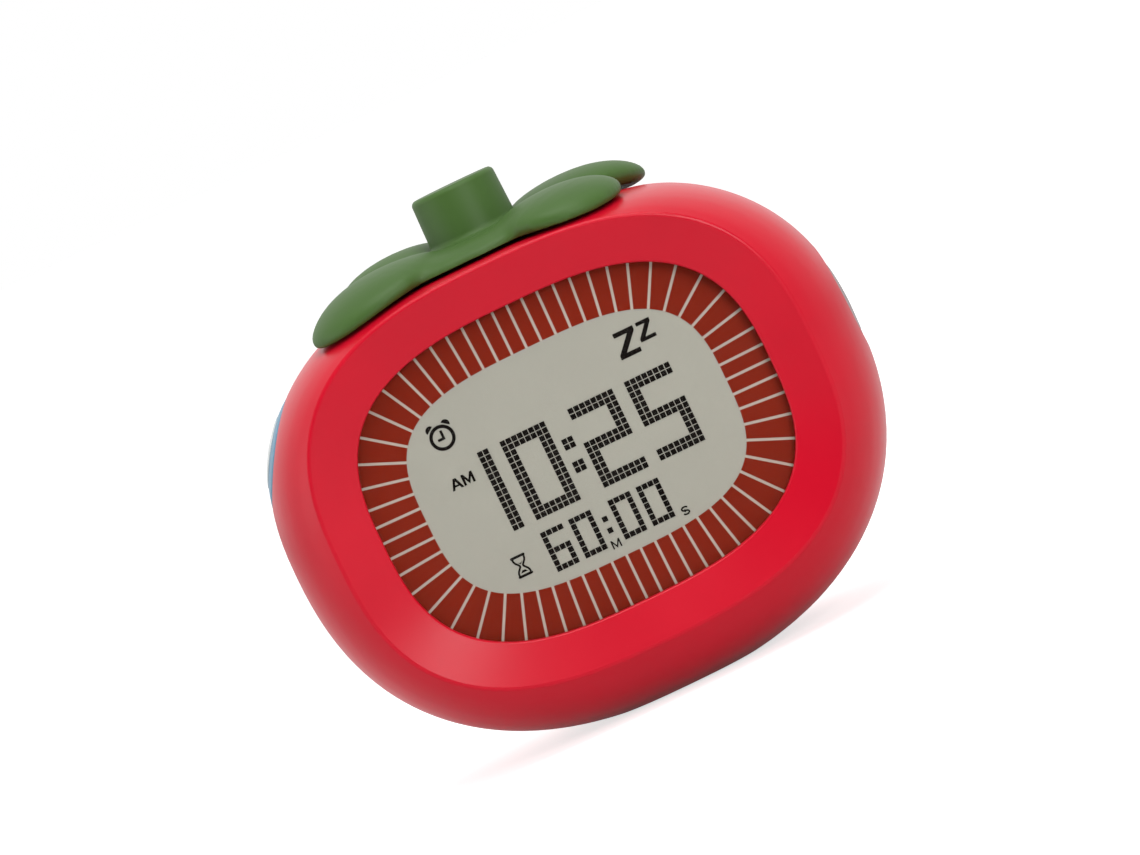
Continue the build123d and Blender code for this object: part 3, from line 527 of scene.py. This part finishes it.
def board_material(name, colour):
    """Solder-masked board with tracks under the mask."""
    material, tree, shader, point = start_material(name)
    cells = tree.nodes.new("ShaderNodeTexVoronoi")
    cells.feature = "DISTANCE_TO_EDGE"
    cells.inputs["Scale"].default_value = 420.0
    tree.links.new(point, cells.inputs["Vector"])
    track = spread(tree, cells.outputs["Distance"], low=1.0, high=0.0, source=(0.05, 0.09))
    tree.links.new(tone_mix(tree, track, tint(colour, 0.85), tint(colour, 1.7)), shader.inputs["Base Color"])
    gloss = spread(tree, noise(tree, point, scale=300.0), low=0.3, high=0.45)
    tree.links.new(gloss, shader.inputs["Roughness"])
    bump(tree, shader, track, strength=0.3, distance=0.03 * MM)
    return material


def dress(material, *nodes):
    """Give CAD nodes a material."""
    for name in nodes:
        mesh = NODES[name].data
        mesh.materials.clear()
        mesh.materials.append(material)


# Mesh helpers


def finish_piece(name, mesh_data, material, body):
    """Object from a bmesh, with its material, on a body."""
    bmesh.ops.recalc_face_normals(mesh_data, faces=mesh_data.faces)
    mesh = bpy.data.meshes.new(name)
    mesh_data.to_mesh(mesh)
    mesh_data.free()
    mesh.materials.append(material)
    piece = bpy.data.objects.new(name, mesh)
    bpy.context.scene.collection.objects.link(piece)
    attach(piece, body)
    return piece


def face_point(across, up, lift=0.0):
    """Point on the display's face, lifted towards the viewer."""
    return Vector((across, FACE_Y - lift, FACE_Z + up))


def thicken(mesh_data, faces, thickness):
    """Extrude flat drawn faces towards the viewer."""
    made = bmesh.ops.extrude_face_region(mesh_data, geom=faces)
    verts = [part for part in made["geom"] if isinstance(part, bmesh.types.BMVert)]
    bmesh.ops.translate(mesh_data, verts=verts, vec=(0, -thickness, 0))


def add_outline(mesh_data, points, thickness):
    """Flat shape from its outline in metres on the display, thickened."""
    verts = [mesh_data.verts.new(face_point(across, up)) for across, up in points]
    thicken(mesh_data, [mesh_data.faces.new(verts)], thickness)


def add_stroke(mesh_data, start, end, width, thickness):
    """Straight stroke with square ends between two points on the display."""
    along = (end - start).normalized()
    side = Vector((-along.y, along.x)) * width / 2
    add_outline(mesh_data, [start + side, start - side, end - side, end + side], thickness)


def add_hoop(mesh_data, centre, outer, inner, thickness, steps=48):
    """Flat ring."""
    place = Matrix.Translation(face_point(*centre)) @ Matrix.Rotation(pi / 2, 4, "X")
    edges = []
    for radius in (outer, inner):
        ring = bmesh.ops.create_circle(mesh_data, segments=steps, radius=radius, matrix=place)
        edges += dict.fromkeys(edge for vert in ring["verts"] for edge in vert.link_edges)
    bridged = bmesh.ops.bridge_loops(mesh_data, edges=edges)
    thicken(mesh_data, bridged["faces"], thickness)


def seven_bars(lit, columns, rows, stroke):
    """Cells of a seven-bar digit: a top, b and c right, d bottom, e and f left, g middle."""
    middle = (rows - stroke) // 2
    spans = {
        "a": (range(columns), range(stroke)),
        "g": (range(columns), range(middle, middle + stroke)),
        "d": (range(columns), range(rows - stroke, rows)),
        "f": (range(stroke), range(middle + stroke)),
        "e": (range(stroke), range(middle, rows)),
        "b": (range(columns - stroke, columns), range(middle + stroke)),
        "c": (range(columns - stroke, columns), range(middle, rows)),
    }
    return {(column, row) for bar in lit for column in spans[bar][0] for row in spans[bar][1]}


def add_digits(mesh_data, row, thickness):
    """Dots of a row of digits; cells count right and down from the top left."""
    cells = {(column, line) for column in row.colon[0] for line in row.colon[1]}
    for digit, first in row.digits:
        cells |= {(column + first, line) for column, line in seven_bars(BARS[digit], *row.cells)}
    left, top, pitch, size = (value * ART for value in row.place)
    for column, line in sorted(cells):
        centre = face_point(left + (column + 0.5) * pitch, top - (line + 0.5) * pitch, thickness / 2)
        place = Matrix.Translation(centre) @ Matrix.Diagonal((size, thickness, size, 1.0))
        bmesh.ops.create_cube(mesh_data, size=1.0, matrix=place)


def oval_point(angle, half_width, half_height, power):
    """Point of a rounded oval at a polar angle."""
    across, up = cos(angle), sin(angle)
    reach = (abs(across / half_width) ** power + abs(up / half_height) ** power) ** (-1 / power)
    return Vector((reach * across, reach * up))


def oval_level(point, half_width, half_height, power):
    """Below one inside the oval, above one outside."""
    return abs(point.x / half_width) ** power + abs(point.y / half_height) ** power


def even_points(count, half_width, half_height, power, steps=2880):
    """Points at even distances round an oval, clockwise from its top."""
    turns = [pi / 2 - 2 * pi * step / steps for step in range(steps + 1)]
    fine = [oval_point(turn, half_width, half_height, power) for turn in turns]
    points = []
    for quarter in range(4):
        part = fine[quarter * steps // 4:(quarter + 1) * steps // 4 + 1]
        lengths = [0.0]
        for before, after in zip(part, part[1:]):
            lengths.append(lengths[-1] + (after - before).length)
        for step in range(count // 4):
            want = lengths[-1] * step / (count // 4)
            place = next(index for index, length in enumerate(lengths) if length >= want - 1e-12)
            points.append(part[place])
    return points


def oval_normal(point, half_width, half_height, power):
    """Outward direction of an oval's edge at a point."""
    across = abs(point.x / half_width) ** (power - 1) / half_width
    up = abs(point.y / half_height) ** (power - 1) / half_height
    return Vector((across if point.x >= 0 else -across, up if point.y >= 0 else -up)).normalized()


def merged_copy(node):
    """Copy of a CAD node's mesh with its doubled points merged."""
    copy = bmesh.new()
    copy.from_mesh(NODES[node].data)
    bmesh.ops.remove_doubles(copy, verts=copy.verts, dist=MERGE_COPY)
    return copy


def finish():
    """The finish settings of the scene."""
    return bpy.context.scene.timer_finish


def ink_piece(name, mesh_data):
    """Piece of dark ink on the display."""
    found = bpy.data.materials.get("display_ink")
    ink = found or moulded("display_ink", finish().display_ink)
    finish_piece(name, mesh_data, ink, "housing")


def pale_material():
    """Pale plastic shared by the blue key's centre and the rear keys."""
    found = bpy.data.materials.get("pale_plastic")
    return found or moulded("pale_plastic", finish().pale)


# Operators


class TIMER_OT_shells(Operator):
    """Satin red plastic on the two shells and the battery door, rubber on the base pad"""

    bl_idname = "timer.shells"
    bl_label = "Shells and door"

    def execute(self, context):
        dress(moulded("tomato_red", finish().tomato_red), "front_housing", "rear_housing", "battery_door")
        dress(moulded("pad_rubber", PAD_BLACK), "base_pad")
        return {"FINISHED"}


class TIMER_OT_cap(Operator):
    """Plump green calyx with its stem, skirt and post"""

    bl_idname = "timer.cap"
    bl_label = "Stem cap"

    def execute(self, context):
        sizes = context.scene.timer_leaf
        green = moulded("leaf_green", finish().leaf_green)
        dress(green, "stem_cap")
        leaf = self.grown_lobes(sizes)
        crown = self.shell_height(Vector((sizes.hub_radius, 0)), sizes)
        seat = crown + sizes.gap + sizes.hub_height
        self.add_stem(leaf, sizes, seat)
        outer, inner = sizes.skirt_radius, sizes.skirt_radius - sizes.skirt_wall
        drop, sunk = crown - sizes.skirt_drop, seat - SUNK
        self.add_turned(leaf, [(inner, drop), (outer, drop), (outer, sunk), (inner, sunk)])
        piece = finish_piece("leaf_cap", leaf, green, "cap")
        piece.data.shade_smooth()
        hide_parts("stem_cap")
        return {"FINISHED"}

    def grown_lobes(self, sizes):
        """Four lobes, the bridge and the hub grown into one skin, then laid over the shells."""
        seeds = bmesh.new()
        front = (sizes.front_width, sizes.front_height, sizes.front_lift)
        back = (sizes.back_width, sizes.back_height, sizes.back_lift)
        lobes = (
            (sizes.front_left_turn, sizes.front_left, front),
            (sizes.front_right_turn, sizes.front_right, front),
            (sizes.back_left_turn, sizes.back_left, back),
            (sizes.back_right_turn, sizes.back_right, back),
        )
        for turn, tip, (width, height, lift) in lobes:
            half = (tip - sizes.root) / 2
            spot = Matrix.Rotation(turn, 4, "Z") @ Matrix.Translation((tip - half, 0, lift))
            shape = Matrix.Diagonal((half, width, height, 1))
            self.add_ball(seeds, spot @ shape)
        bridge = Matrix.Diagonal((sizes.bridge_half, sizes.bridge_depth, sizes.bridge_height, 1))
        self.add_ball(seeds, Matrix.Translation((0, -sizes.bridge_reach, 0)) @ bridge)
        root, rim, top = sizes.root, sizes.hub_radius, sizes.hub_height
        self.add_turned(seeds, [(root, 0), (rim, 0), (rim, top), (root, top)])
        skin = self.grow(seeds, sizes.voxel)
        for share in BLEND_SHARES:
            near = [vert for vert in skin.verts if vert.co.xy.length < sizes.blend_radius * share]
            for _ in range(BLEND_PASSES):
                bmesh.ops.smooth_vert(skin, verts=near, factor=SMOOTHING, use_axis_x=True, use_axis_y=True,
                                      use_axis_z=True)
        for vert in skin.verts:
            height = max(0.0, vert.co.z)
            vert.co.z = self.shell_height(vert.co.xy, sizes) + sizes.gap + height
        return skin

    def add_ball(self, seeds, place):
        """Unit ball, stretched and placed by a matrix."""
        around, along = BALL_STEPS
        bmesh.ops.create_uvsphere(seeds, u_segments=around, v_segments=along, radius=1.0, matrix=place)

    def grow(self, seeds, voxel):
        """Voxel skin round the seeds, smoothed."""
        mesh = bpy.data.meshes.new("leaf_seeds")
        seeds.to_mesh(mesh)
        seeds.free()
        holder = bpy.data.objects.new("leaf_seeds", mesh)
        bpy.context.scene.collection.objects.link(holder)
        remesh = holder.modifiers.new("skin", "REMESH")
        remesh.mode = "VOXEL"
        remesh.voxel_size = voxel
        smooth = holder.modifiers.new("smooth", "SMOOTH")
        smooth.factor = SMOOTHING
        smooth.iterations = SKIN_PASSES
        bpy.context.view_layer.update()
        shaped = holder.evaluated_get(bpy.context.evaluated_depsgraph_get())
        grown = bpy.data.meshes.new_from_object(shaped)
        bpy.data.objects.remove(holder)
        bpy.data.meshes.remove(mesh)
        skin = bmesh.new()
        skin.from_mesh(grown)
        bpy.data.meshes.remove(grown)
        return skin

    def shell_height(self, spot, sizes):
        """Height of the shells' top under a plan point, the crown's recess filled."""
        reach = max(spot.length, sizes.skirt_radius + RECESS_EDGE)
        place = spot.normalized() * reach if spot.length > 0 else Vector((reach, 0))
        start = Vector((place.x, place.y, CAD_BOX[1].z + 1))
        heights = []
        for name in ("front_housing", "rear_housing"):
            hit, point, _, _ = NODES[name].ray_cast(start, Vector((0, 0, -1)))
            if hit:
                heights.append(point.z)
        if not heights:
            raise RuntimeError("a lobe reaches past the shells")
        return max(heights)

    def add_stem(self, leaf, sizes, seat, steps=6):
        """Stem with a rounded top and a flared foot, the spring's pocket and the post in it."""
        low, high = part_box("stem_cap")
        roof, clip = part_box("cap_spring")[1].z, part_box("cap_clip")[0].z
        foot, head = sizes.stem_radius, sizes.stem_radius - sizes.stem_taper
        turns = [pi / 2 * step / steps for step in range(steps + 1)]
        profile = [(0, high.z)]
        profile += [(head - sizes.stem_round * (1 - sin(turn)), high.z - sizes.stem_round * (1 - cos(turn)))
                    for turn in turns]
        profile += [(foot + sizes.stem_flare * (1 - cos(turn)), seat + sizes.stem_flare * (1 - sin(turn)))
                    for turn in turns]
        pocket, post, end = sizes.pocket_radius, sizes.post_radius, sizes.post_head
        profile += [(foot + sizes.stem_flare, seat - SUNK), (pocket, seat - SUNK), (pocket, roof)]
        profile += [(post, roof), (post, clip), (end, clip), (end, low.z), (0, low.z)]
        self.add_turned(leaf, profile)

    def add_turned(self, leaf, profile):
        """Closed turned shape from its profile of reach and height."""
        verts = [leaf.verts.new((reach, 0, height)) for reach, height in profile]
        edges = [leaf.edges.new(pair) for pair in zip(verts, verts[1:])]
        if profile[0][0] > 0:
            edges.append(leaf.edges.new((verts[-1], verts[0])))
        bmesh.ops.spin(leaf, geom=verts + edges, cent=(0, 0, 0), axis=(0, 0, 1), angle=2 * pi,
                       steps=TURN_STEPS, use_merge=True)
        near = [vert for vert in leaf.verts if vert.co.xy.length < NEAR_AXIS]
        bmesh.ops.remove_doubles(leaf, verts=near, dist=MERGE_AXIS)


class TIMER_OT_side_keys(Operator):
    """Domed blue key with its pale centre, and the grey key"""

    bl_idname = "timer.side_keys"
    bl_label = "Side keys"

    def execute(self, context):
        blue = moulded("key_blue", finish().key_blue)
        grey = moulded("key_grey", finish().key_grey)
        dress(blue, "blue_key")
        dress(pale_material(), "blue_key_inlay")
        dress(grey, "grey_key")
        dress(moulded("centre_grey", finish().centre_grey), "grey_key_inlay")
        sizes = context.scene.timer_keys
        self.domed("blue_dome", "blue_key", blue, "blue_key", sizes)
        self.domed("blue_centre", "blue_key_inlay", pale_material(), "pale_plastic", sizes)
        return {"FINISHED"}

    def domed(self, name, node, material, slot_name, sizes):
        """Copy of one of the blue key's nodes with its outer face raised into a dome."""
        way = -Vector(JOINTS["blue_press"]["axis"])
        low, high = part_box("blue_key_inlay")
        middle = (low + high) / 2
        copy = merged_copy(node)
        copy.normal_update()
        outer = {vert for face in copy.faces if face.normal.dot(way) > OUTWARD for vert in face.verts}
        centre = node == "blue_key_inlay"
        rise = sizes.rise - sizes.centre_drop if centre else sizes.rise
        for vert in copy.verts if centre else outer:
            depth = (vert.co - middle).dot(way)
            reach = (vert.co - middle - way * depth).length
            if depth > -sizes.depth:
                vert.co += way * (rise + sizes.dome * max(0.0, 1 - (reach / sizes.radius) ** 2))
        piece = finish_piece(name, copy, material, "blue")
        piece.data.shade_smooth()
        piece.data.set_sharp_from_angle(angle=SHARP_EDGE)
        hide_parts(node)


class TIMER_OT_rear_controls(Operator):
    """Rear keys, slide knob and the switches behind all keys"""

    bl_idname = "timer.rear_controls"
    bl_label = "Rear controls"

    def execute(self, context):
        dress(pale_material(), "set_key", "down_key", "up_key")
        dress(moulded("dark_plastic", SWITCH_BLACK), *SWITCHES)
        return {"FINISHED"}


class TIMER_OT_display_ground(Operator):
    """Crystal panel, gasket and window"""

    bl_idname = "timer.display_ground"
    bl_label = "Display ground"

    def execute(self, context):
        material, tree, shader, point = start_material("display_ground")
        ground = finish().display_ground
        fleck = noise(tree, point, scale=2600.0, detail=2.0, roughness=0.7)
        tone = tone_mix(tree, fleck, tint(ground, 0.95), tint(ground, 1.05))
        tree.links.new(tone, shader.inputs["Base Color"])
        tree.links.new(spread(tree, fleck, low=0.5, high=0.62), shader.inputs["Roughness"])
        shader.inputs["Specular IOR Level"].default_value = 0.06
        bump(tree, shader, fleck, strength=0.05, distance=0.01 * MM)
        dress(material, "lcd_panel")
        dress(moulded("gasket_foam", FOAM_BLACK), "lcd_gasket")
        window = clear("clear_window", colour=(0.02, 0.02, 0.02), alpha=0.04, roughness=0.06)
        dress(window, "display_lens")
        return {"FINISHED"}


class TIMER_OT_minute_ring(Operator):
    """Red minute segments round the display, with pale lines between them"""

    bl_idname = "timer.minute_ring"
    bl_label = "Minute ring"

    def execute(self, context):
        sizes = context.scene.timer_display
        inner = (sizes.ring_half_width, sizes.ring_half_height, sizes.ring_power)
        outer = (sizes.edge_half_width, sizes.edge_half_height, sizes.edge_power)
        lines = [(spot, oval_normal(spot, *inner)) for spot in even_points(sizes.minutes, *inner)]
        ring = bmesh.new()
        for index, (spot, way) in enumerate(lines):
            after, after_way = lines[(index + 1) % sizes.minutes]
            self.add_segment(ring, (spot, way), (after, after_way), inner, outer, sizes)
        self.add_lines(inner, outer, sizes)
        red = moulded("minute_red", finish().minute_red)
        finish_piece("minute_ring", ring, red, "housing")
        return {"FINISHED"}

    def add_segment(self, ring, start, end, inner, outer, sizes, steps=3):
        """One segment between two clear lines, from the inner to the outer edge."""
        near, far = [], []
        for step in range(steps + 1):
            share = step / steps
            way = (start[1] * (1 - share) + end[1] * share).normalized()
            spot = start[0] * (1 - share) + end[0] * share
            if 0 < step < steps:
                spot = self.reach(spot, way, inner)
            side = Vector((way.y, -way.x)) * sizes.gap / 2
            if step == 0:
                spot = spot + side
            if step == steps:
                spot = spot - side
            near.append(face_point(*spot, sizes.ink / 2))
            far.append(face_point(*self.reach(spot, way, outer), sizes.ink / 2))
        loops = [[ring.verts.new(point) for point in line] for line in (near, far)]
        edges = [ring.edges.new(pair) for loop in loops for pair in zip(loop, loop[1:])]
        faces = bmesh.ops.bridge_loops(ring, edges=edges)["faces"]
        thicken(ring, faces, sizes.ink)

    def add_lines(self, inner, outer, sizes, steps=180):
        """Pale ring under the segments, seen as clear lines between them."""
        ground = bmesh.new()
        edges = []
        for oval in (inner, outer):
            spots = [oval_point(2 * pi * step / steps, *oval) for step in range(steps)]
            loop = [ground.verts.new(face_point(*spot)) for spot in spots]
            edges += [ground.edges.new((loop[step - 1], loop[step])) for step in range(steps)]
        thicken(ground, bmesh.ops.bridge_loops(ground, edges=edges)["faces"], sizes.ink / 2)
        pale = moulded("ring_pale", finish().ring_pale)
        finish_piece("minute_lines", ground, pale, "housing")

    def reach(self, spot, way, oval):
        """Where a line from a spot meets an oval."""
        low, high = -RING_REACH, RING_REACH
        for _ in range(RING_HALVINGS):
            middle = (low + high) / 2
            if oval_level(spot + way * middle, *oval) < 1:
                low = middle
            else:
                high = middle
        return spot + way * low


class TIMER_OT_digits(Operator):
    """Clock and countdown digits made of dots"""

    bl_idname = "timer.digits"
    bl_label = "Digits"

    def execute(self, context):
        for name, row in DOT_ROWS.items():
            digits = bmesh.new()
            add_digits(digits, row, context.scene.timer_display.ink)
            ink_piece(name, digits)
        return {"FINISHED"}


class TIMER_OT_signs(Operator):
    """Letters, alarm sign, hourglass and sleep sign"""

    bl_idname = "timer.signs"
    bl_label = "Display signs"

    def execute(self, context):
        ink = context.scene.timer_display.ink
        letters = bmesh.new()
        self.add_a(letters, *MORNING_A, ink)
        self.add_m(letters, *MORNING_M, ink)
        self.add_m(letters, *MINUTES_M, ink)
        self.add_s(letters, *SECONDS_S, ink)
        ink_piece("display_letters", letters)
        self.alarm(ink)
        self.hourglass(ink)
        self.sleep(ink)
        return {"FINISHED"}

    def add_band(self, mesh_data, points, width, ink):
        """Stroke of even width along points, mitred at its bends."""
        points = [Vector(point) for point in points]
        ways = [(after - before).normalized() for before, after in zip(points, points[1:])]
        left, right = [], []
        for index, point in enumerate(points):
            before, after = ways[max(0, index - 1)], ways[min(index, len(ways) - 1)]
            side = Vector((-before.y - after.y, before.x + after.x)).normalized()
            reach = width / 2 / max(MITRE_LIMIT, side.dot(Vector((-after.y, after.x))))
            left.append((point + side * reach) * ART)
            right.append((point - side * reach) * ART)
        for index in range(len(ways)):
            add_outline(mesh_data, [left[index], right[index], right[index + 1], left[index + 1]], ink)

    def add_a(self, mesh_data, left, low, wide, tall, width, ink):
        """Letter A from its two legs and its bar."""
        foot, top = width * A_FOOT, width * A_TOP
        middle, high = left + wide / 2, low + tall
        for side in (-1, 1):
            outer, near = middle + side * wide / 2, middle + side * (wide / 2 - 2 * foot)
            corners = [(outer, low), (near, low), (middle, high - 2 * top), (middle, high),
                       (middle + side * top, high)]
            add_outline(mesh_data, [Vector(spot) * ART for spot in corners], ink)
        half = (wide / 2 - 2 * foot) * (1 - A_BAR_HEIGHT) + foot / 2
        bar = low + tall * A_BAR_HEIGHT
        self.add_band(mesh_data, [(middle - half, bar), (middle + half, bar)], width * A_BAR_STROKE, ink)

    def add_m(self, mesh_data, left, low, wide, tall, width, ink):
        """Letter M from its two posts and the bend between them."""
        high, middle, bend = low + tall, left + wide / 2, width * M_BEND
        for side in (-1, 1):
            post = middle + side * (wide / 2 - width / 2)
            self.add_band(mesh_data, [(post, low), (post, high)], width, ink)
            inside = middle + side * (wide / 2 - width)
            corners = [(inside, high), (inside, high - bend), (middle, low), (middle, low + bend)]
            add_outline(mesh_data, [Vector(spot) * ART for spot in corners], ink)

    def add_s(self, mesh_data, left, low, wide, tall, width, ink, steps=9):
        """Letter S from two open bows."""
        middle = Vector((left + wide / 2, low + tall / 2))
        across, up = (wide - width) / 2, (tall - width) / 4
        turns = [radians(S_START + S_SWEEP * step / steps) for step in range(steps + 1)]
        upper = [middle + Vector((across * cos(turn), up + up * sin(turn))) for turn in turns]
        lower = [2 * middle - point for point in reversed(upper)]
        self.add_band(mesh_data, upper + lower, width, ink)

    def alarm(self, ink):
        """Round alarm clock with two bells."""
        sign = bmesh.new()
        centre = Vector(ALARM_CENTRE) * ART
        add_hoop(sign, centre, ALARM_OUTER * ART, ALARM_INNER * ART, ink)
        hub = centre + Vector(ALARM_HUB) * ART
        width = ALARM_STROKE * ART
        add_stroke(sign, hub - Vector((0, width / 2)), hub + Vector(ALARM_MINUTE_HAND) * ART, width, ink)
        add_stroke(sign, hub + Vector((-width / 2, 0)), hub + Vector(ALARM_HOUR_HAND) * ART, width, ink)
        sweep = [pi * step / BELL_STEPS for step in range(BELL_STEPS + 1)]
        for turn in BELL_TURNS:
            way = Vector((cos(radians(turn)), sin(radians(turn))))
            side = Vector((way.y, -way.x))
            foot = centre + way * BELL_REACH * ART
            dome = [foot + (side * cos(angle) * BELL_HALF + way * sin(angle) * BELL_HEIGHT) * ART
                    for angle in sweep]
            add_outline(sign, dome, ink)
        ink_piece("alarm_sign", sign)

    def hourglass(self, ink):
        """Hourglass with its rounded caps, glass and sand."""
        sign = bmesh.new()
        middle = Vector(HOURGLASS_MIDDLE)
        for side in (1, -1):
            cap = [middle + Vector((across, side * up)) for across, up in HOURGLASS_CAP]
            add_outline(sign, [spot * ART for spot in cap], ink)
        for side in (1, -1):
            glass = [middle + Vector((side * across, up)) for across, up in HOURGLASS_SIDE]
            self.add_band(sign, glass, HOURGLASS_STROKE, ink)
        for sand in HOURGLASS_SANDS:
            add_outline(sign, [(middle + Vector(spot)) * ART for spot in sand], ink)
        ink_piece("hourglass_sign", sign)

    def sleep(self, ink):
        """Two slanted letters z."""
        sign = bmesh.new()
        for letter in (LARGE_Z, SMALL_Z):
            add_outline(sign, [Vector(spot) * ART for spot in letter], ink)
        ink_piece("sleep_sign", sign)


class TIMER_OT_inner_works(Operator):
    """Boards, chips, contacts, screws, springs, speaker and cells"""

    bl_idname = "timer.inner_works"
    bl_label = "Inner works"

    def execute(self, context):
        dress(board_material("solder_mask", MASK_GREEN), *BOARDS)
        for name, colour, nodes in PLAIN_PLASTICS:
            dress(moulded(name, colour), *nodes)
        for name, colour, gloss, nodes in METALS:
            dress(metal(name, colour, gloss), *nodes)
        dress(clear("light_guide", colour=(0.86, 0.87, 0.86), alpha=0.6, roughness=0.2), "light_guide")
        self.coil(bpy.data.materials["spring_wire"])
        return {"FINISHED"}

    def coil(self, wire):
        """Copy of the cap's spring on the housing, with a mesh of its own, in place of the CAD spring."""
        piece = finish_piece("cap_coil", merged_copy("cap_spring"), wire, "housing")
        piece.data.shade_smooth()
        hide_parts("cap_spring")
        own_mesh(piece)


class TIMER_OT_stage(Operator):
    """Floor, lamps, surroundings and camera"""

    bl_idname = "timer.stage"
    bl_label = "Stage"

    def execute(self, context):
        scene = context.scene
        settings = scene.timer_stage
        scene.view_settings.view_transform = "Standard"
        self.floor(scene)
        self.surroundings(scene)
        powers = (settings.key_power, settings.fill_power, settings.top_power)
        for lamp, power in zip(LAMPS, powers):
            self.lamp(scene, *lamp, power)
        self.camera(scene, settings)
        return {"FINISHED"}

    def floor(self, scene):
        """Pale floor that keeps the shadow and looks white to the camera."""
        plane = bmesh.new()
        bmesh.ops.create_grid(plane, x_segments=1, y_segments=1, size=FLOOR_HALF)
        mesh = bpy.data.meshes.new("floor")
        plane.to_mesh(mesh)
        plane.free()
        floor = bpy.data.objects.new("floor", mesh)
        scene.collection.objects.link(floor)
        material, tree, shader, _ = start_material("floor_white")
        shader.inputs["Base Color"].default_value = FLOOR_TONE
        shader.inputs["Roughness"].default_value = 0.9
        shader.inputs["Specular IOR Level"].default_value = 0.0
        path = tree.nodes.new("ShaderNodeLightPath")
        mirrored = math_node(tree, "MULTIPLY", path.outputs["Is Glossy Ray"], FLOOR_MIRRORED)
        shown = math_node(tree, "MAXIMUM", self.seen(tree, path), mirrored)
        shader.inputs["Emission Color"].default_value = WHITE
        tree.links.new(math_node(tree, "MULTIPLY", shown, FLOOR_GLOW), shader.inputs["Emission Strength"])
        mesh.materials.append(material)

    def seen(self, tree, path):
        """One for what the camera sees, straight or through a clear piece."""
        return math_node(tree, "MAXIMUM", path.outputs["Is Camera Ray"], path.outputs["Is Transmission Ray"])

    def surroundings(self, scene):
        """Studio: white behind and beside the object, dim in front; white to the camera."""
        world = bpy.data.worlds.new("studio")
        scene.world = world
        world.use_nodes = True
        tree = world.node_tree
        shown = tree.nodes["Background"]
        split = tree.nodes.new("ShaderNodeSeparateXYZ")
        tree.links.new(tree.nodes.new("ShaderNodeTexCoord").outputs["Generated"], split.inputs["Vector"])
        depth = split.outputs["Y"]
        light = spread(tree, depth, DIM, BRIGHT, LIGHT_DEPTHS, "SMOOTHSTEP")
        mirrored = spread(tree, depth, DIM, BRIGHT, MIRRORED_DEPTHS, "SMOOTHSTEP")
        path = tree.nodes.new("ShaderNodeLightPath")
        reflected = tree.nodes.new("ShaderNodeMix")
        tree.links.new(path.outputs["Is Glossy Ray"], reflected.inputs["Factor"])
        tree.links.new(light, reflected.inputs["A"])
        tree.links.new(mirrored, reflected.inputs["B"])
        strength = tree.nodes.new("ShaderNodeMix")
        tree.links.new(self.seen(tree, path), strength.inputs["Factor"])
        tree.links.new(reflected.outputs["Result"], strength.inputs["A"])
        strength.inputs["B"].default_value = BRIGHT
        tree.links.new(strength.outputs["Result"], shown.inputs["Strength"])
        shown.inputs["Color"].default_value = WHITE

    def lamp(self, scene, name, way, distance, size, power):
        """Soft square lamp that points at the middle of the body."""
        data = bpy.data.lights.new(name, "AREA")
        data.energy = power
        data.size = size
        lamp = bpy.data.objects.new(name, data)
        way = Vector(way).normalized()
        lamp.location = Vector((0, 0, FACE_Z)) + way * distance
        lamp.rotation_euler = way.to_track_quat("Z", "Y").to_euler()
        scene.collection.objects.link(lamp)

    def camera(self, scene, settings):
        """Camera at the photograph's angle."""
        azimuth, elevation, roll = settings.azimuth, settings.elevation, settings.roll
        back = Vector((sin(azimuth) * cos(elevation), -cos(azimuth) * cos(elevation), sin(elevation)))
        right = Vector((cos(azimuth), sin(azimuth), 0))
        up = back.cross(right)
        across = right * cos(roll) - up * sin(roll)
        rise = right * sin(roll) + up * cos(roll)
        scale = PICTURE_WIDTH * settings.lens / SENSOR_WIDTH / settings.distance
        shift_across, shift_up = PICTURE_SHIFT
        middle = Vector((0, FACE_Y, FACE_Z)) - across * (shift_across / scale) + rise * (shift_up / scale)
        data = bpy.data.cameras.new("camera")
        data.sensor_width = SENSOR_WIDTH
        data.lens = settings.lens
        data.clip_start = CLIP_START
        data.clip_end = CLIP_END
        camera = bpy.data.objects.new("camera", data)
        turn = Matrix((across, rise, back)).transposed().to_4x4()
        camera.matrix_world = Matrix.Translation(middle + back * (settings.distance + FACE_Y)) @ turn
        scene.collection.objects.link(camera)
        scene.camera = camera


STEPS = (
    TIMER_OT_shells, TIMER_OT_cap, TIMER_OT_side_keys, TIMER_OT_rear_controls, TIMER_OT_display_ground,
    TIMER_OT_minute_ring, TIMER_OT_digits, TIMER_OT_signs, TIMER_OT_inner_works, TIMER_OT_stage,
)
SETTINGS = {
    "timer_finish": TimerFinish,
    "timer_leaf": TimerLeaf,
    "timer_keys": TimerKeys,
    "timer_display": TimerDisplay,
    "timer_stage": TimerStage,
}


class TIMER_PT_sidebar(Panel):
    """Steps and settings of the timer"""

    bl_idname = "TIMER_PT_sidebar"
    bl_label = "Visual timer"
    bl_space_type = "VIEW_3D"
    bl_region_type = "UI"
    bl_category = "Timer"

    def draw(self, context):
        for step in STEPS:
            self.layout.operator(step.bl_idname)
        for name, kind in SETTINGS.items():
            for value in kind.__annotations__:
                self.layout.prop(getattr(context.scene, name), value)


CLASSES = (*SETTINGS.values(), *STEPS, TIMER_PT_sidebar)


def register():
    """Register the classes and their settings."""
    for part in CLASSES:
        bpy.utils.register_class(part)
    for name, kind in SETTINGS.items():
        setattr(bpy.types.Scene, name, PointerProperty(type=kind))


def unregister():
    """Remove the settings and the classes."""
    for name in SETTINGS:
        delattr(bpy.types.Scene, name)
    for part in reversed(CLASSES):
        bpy.utils.unregister_class(part)


def main():
    """Build the pieces in order."""
    register()
    for step in STEPS:
        group, name = step.bl_idname.split(".")
        getattr(getattr(bpy.ops, group), name)()


if __name__ == "__main__":
    main()
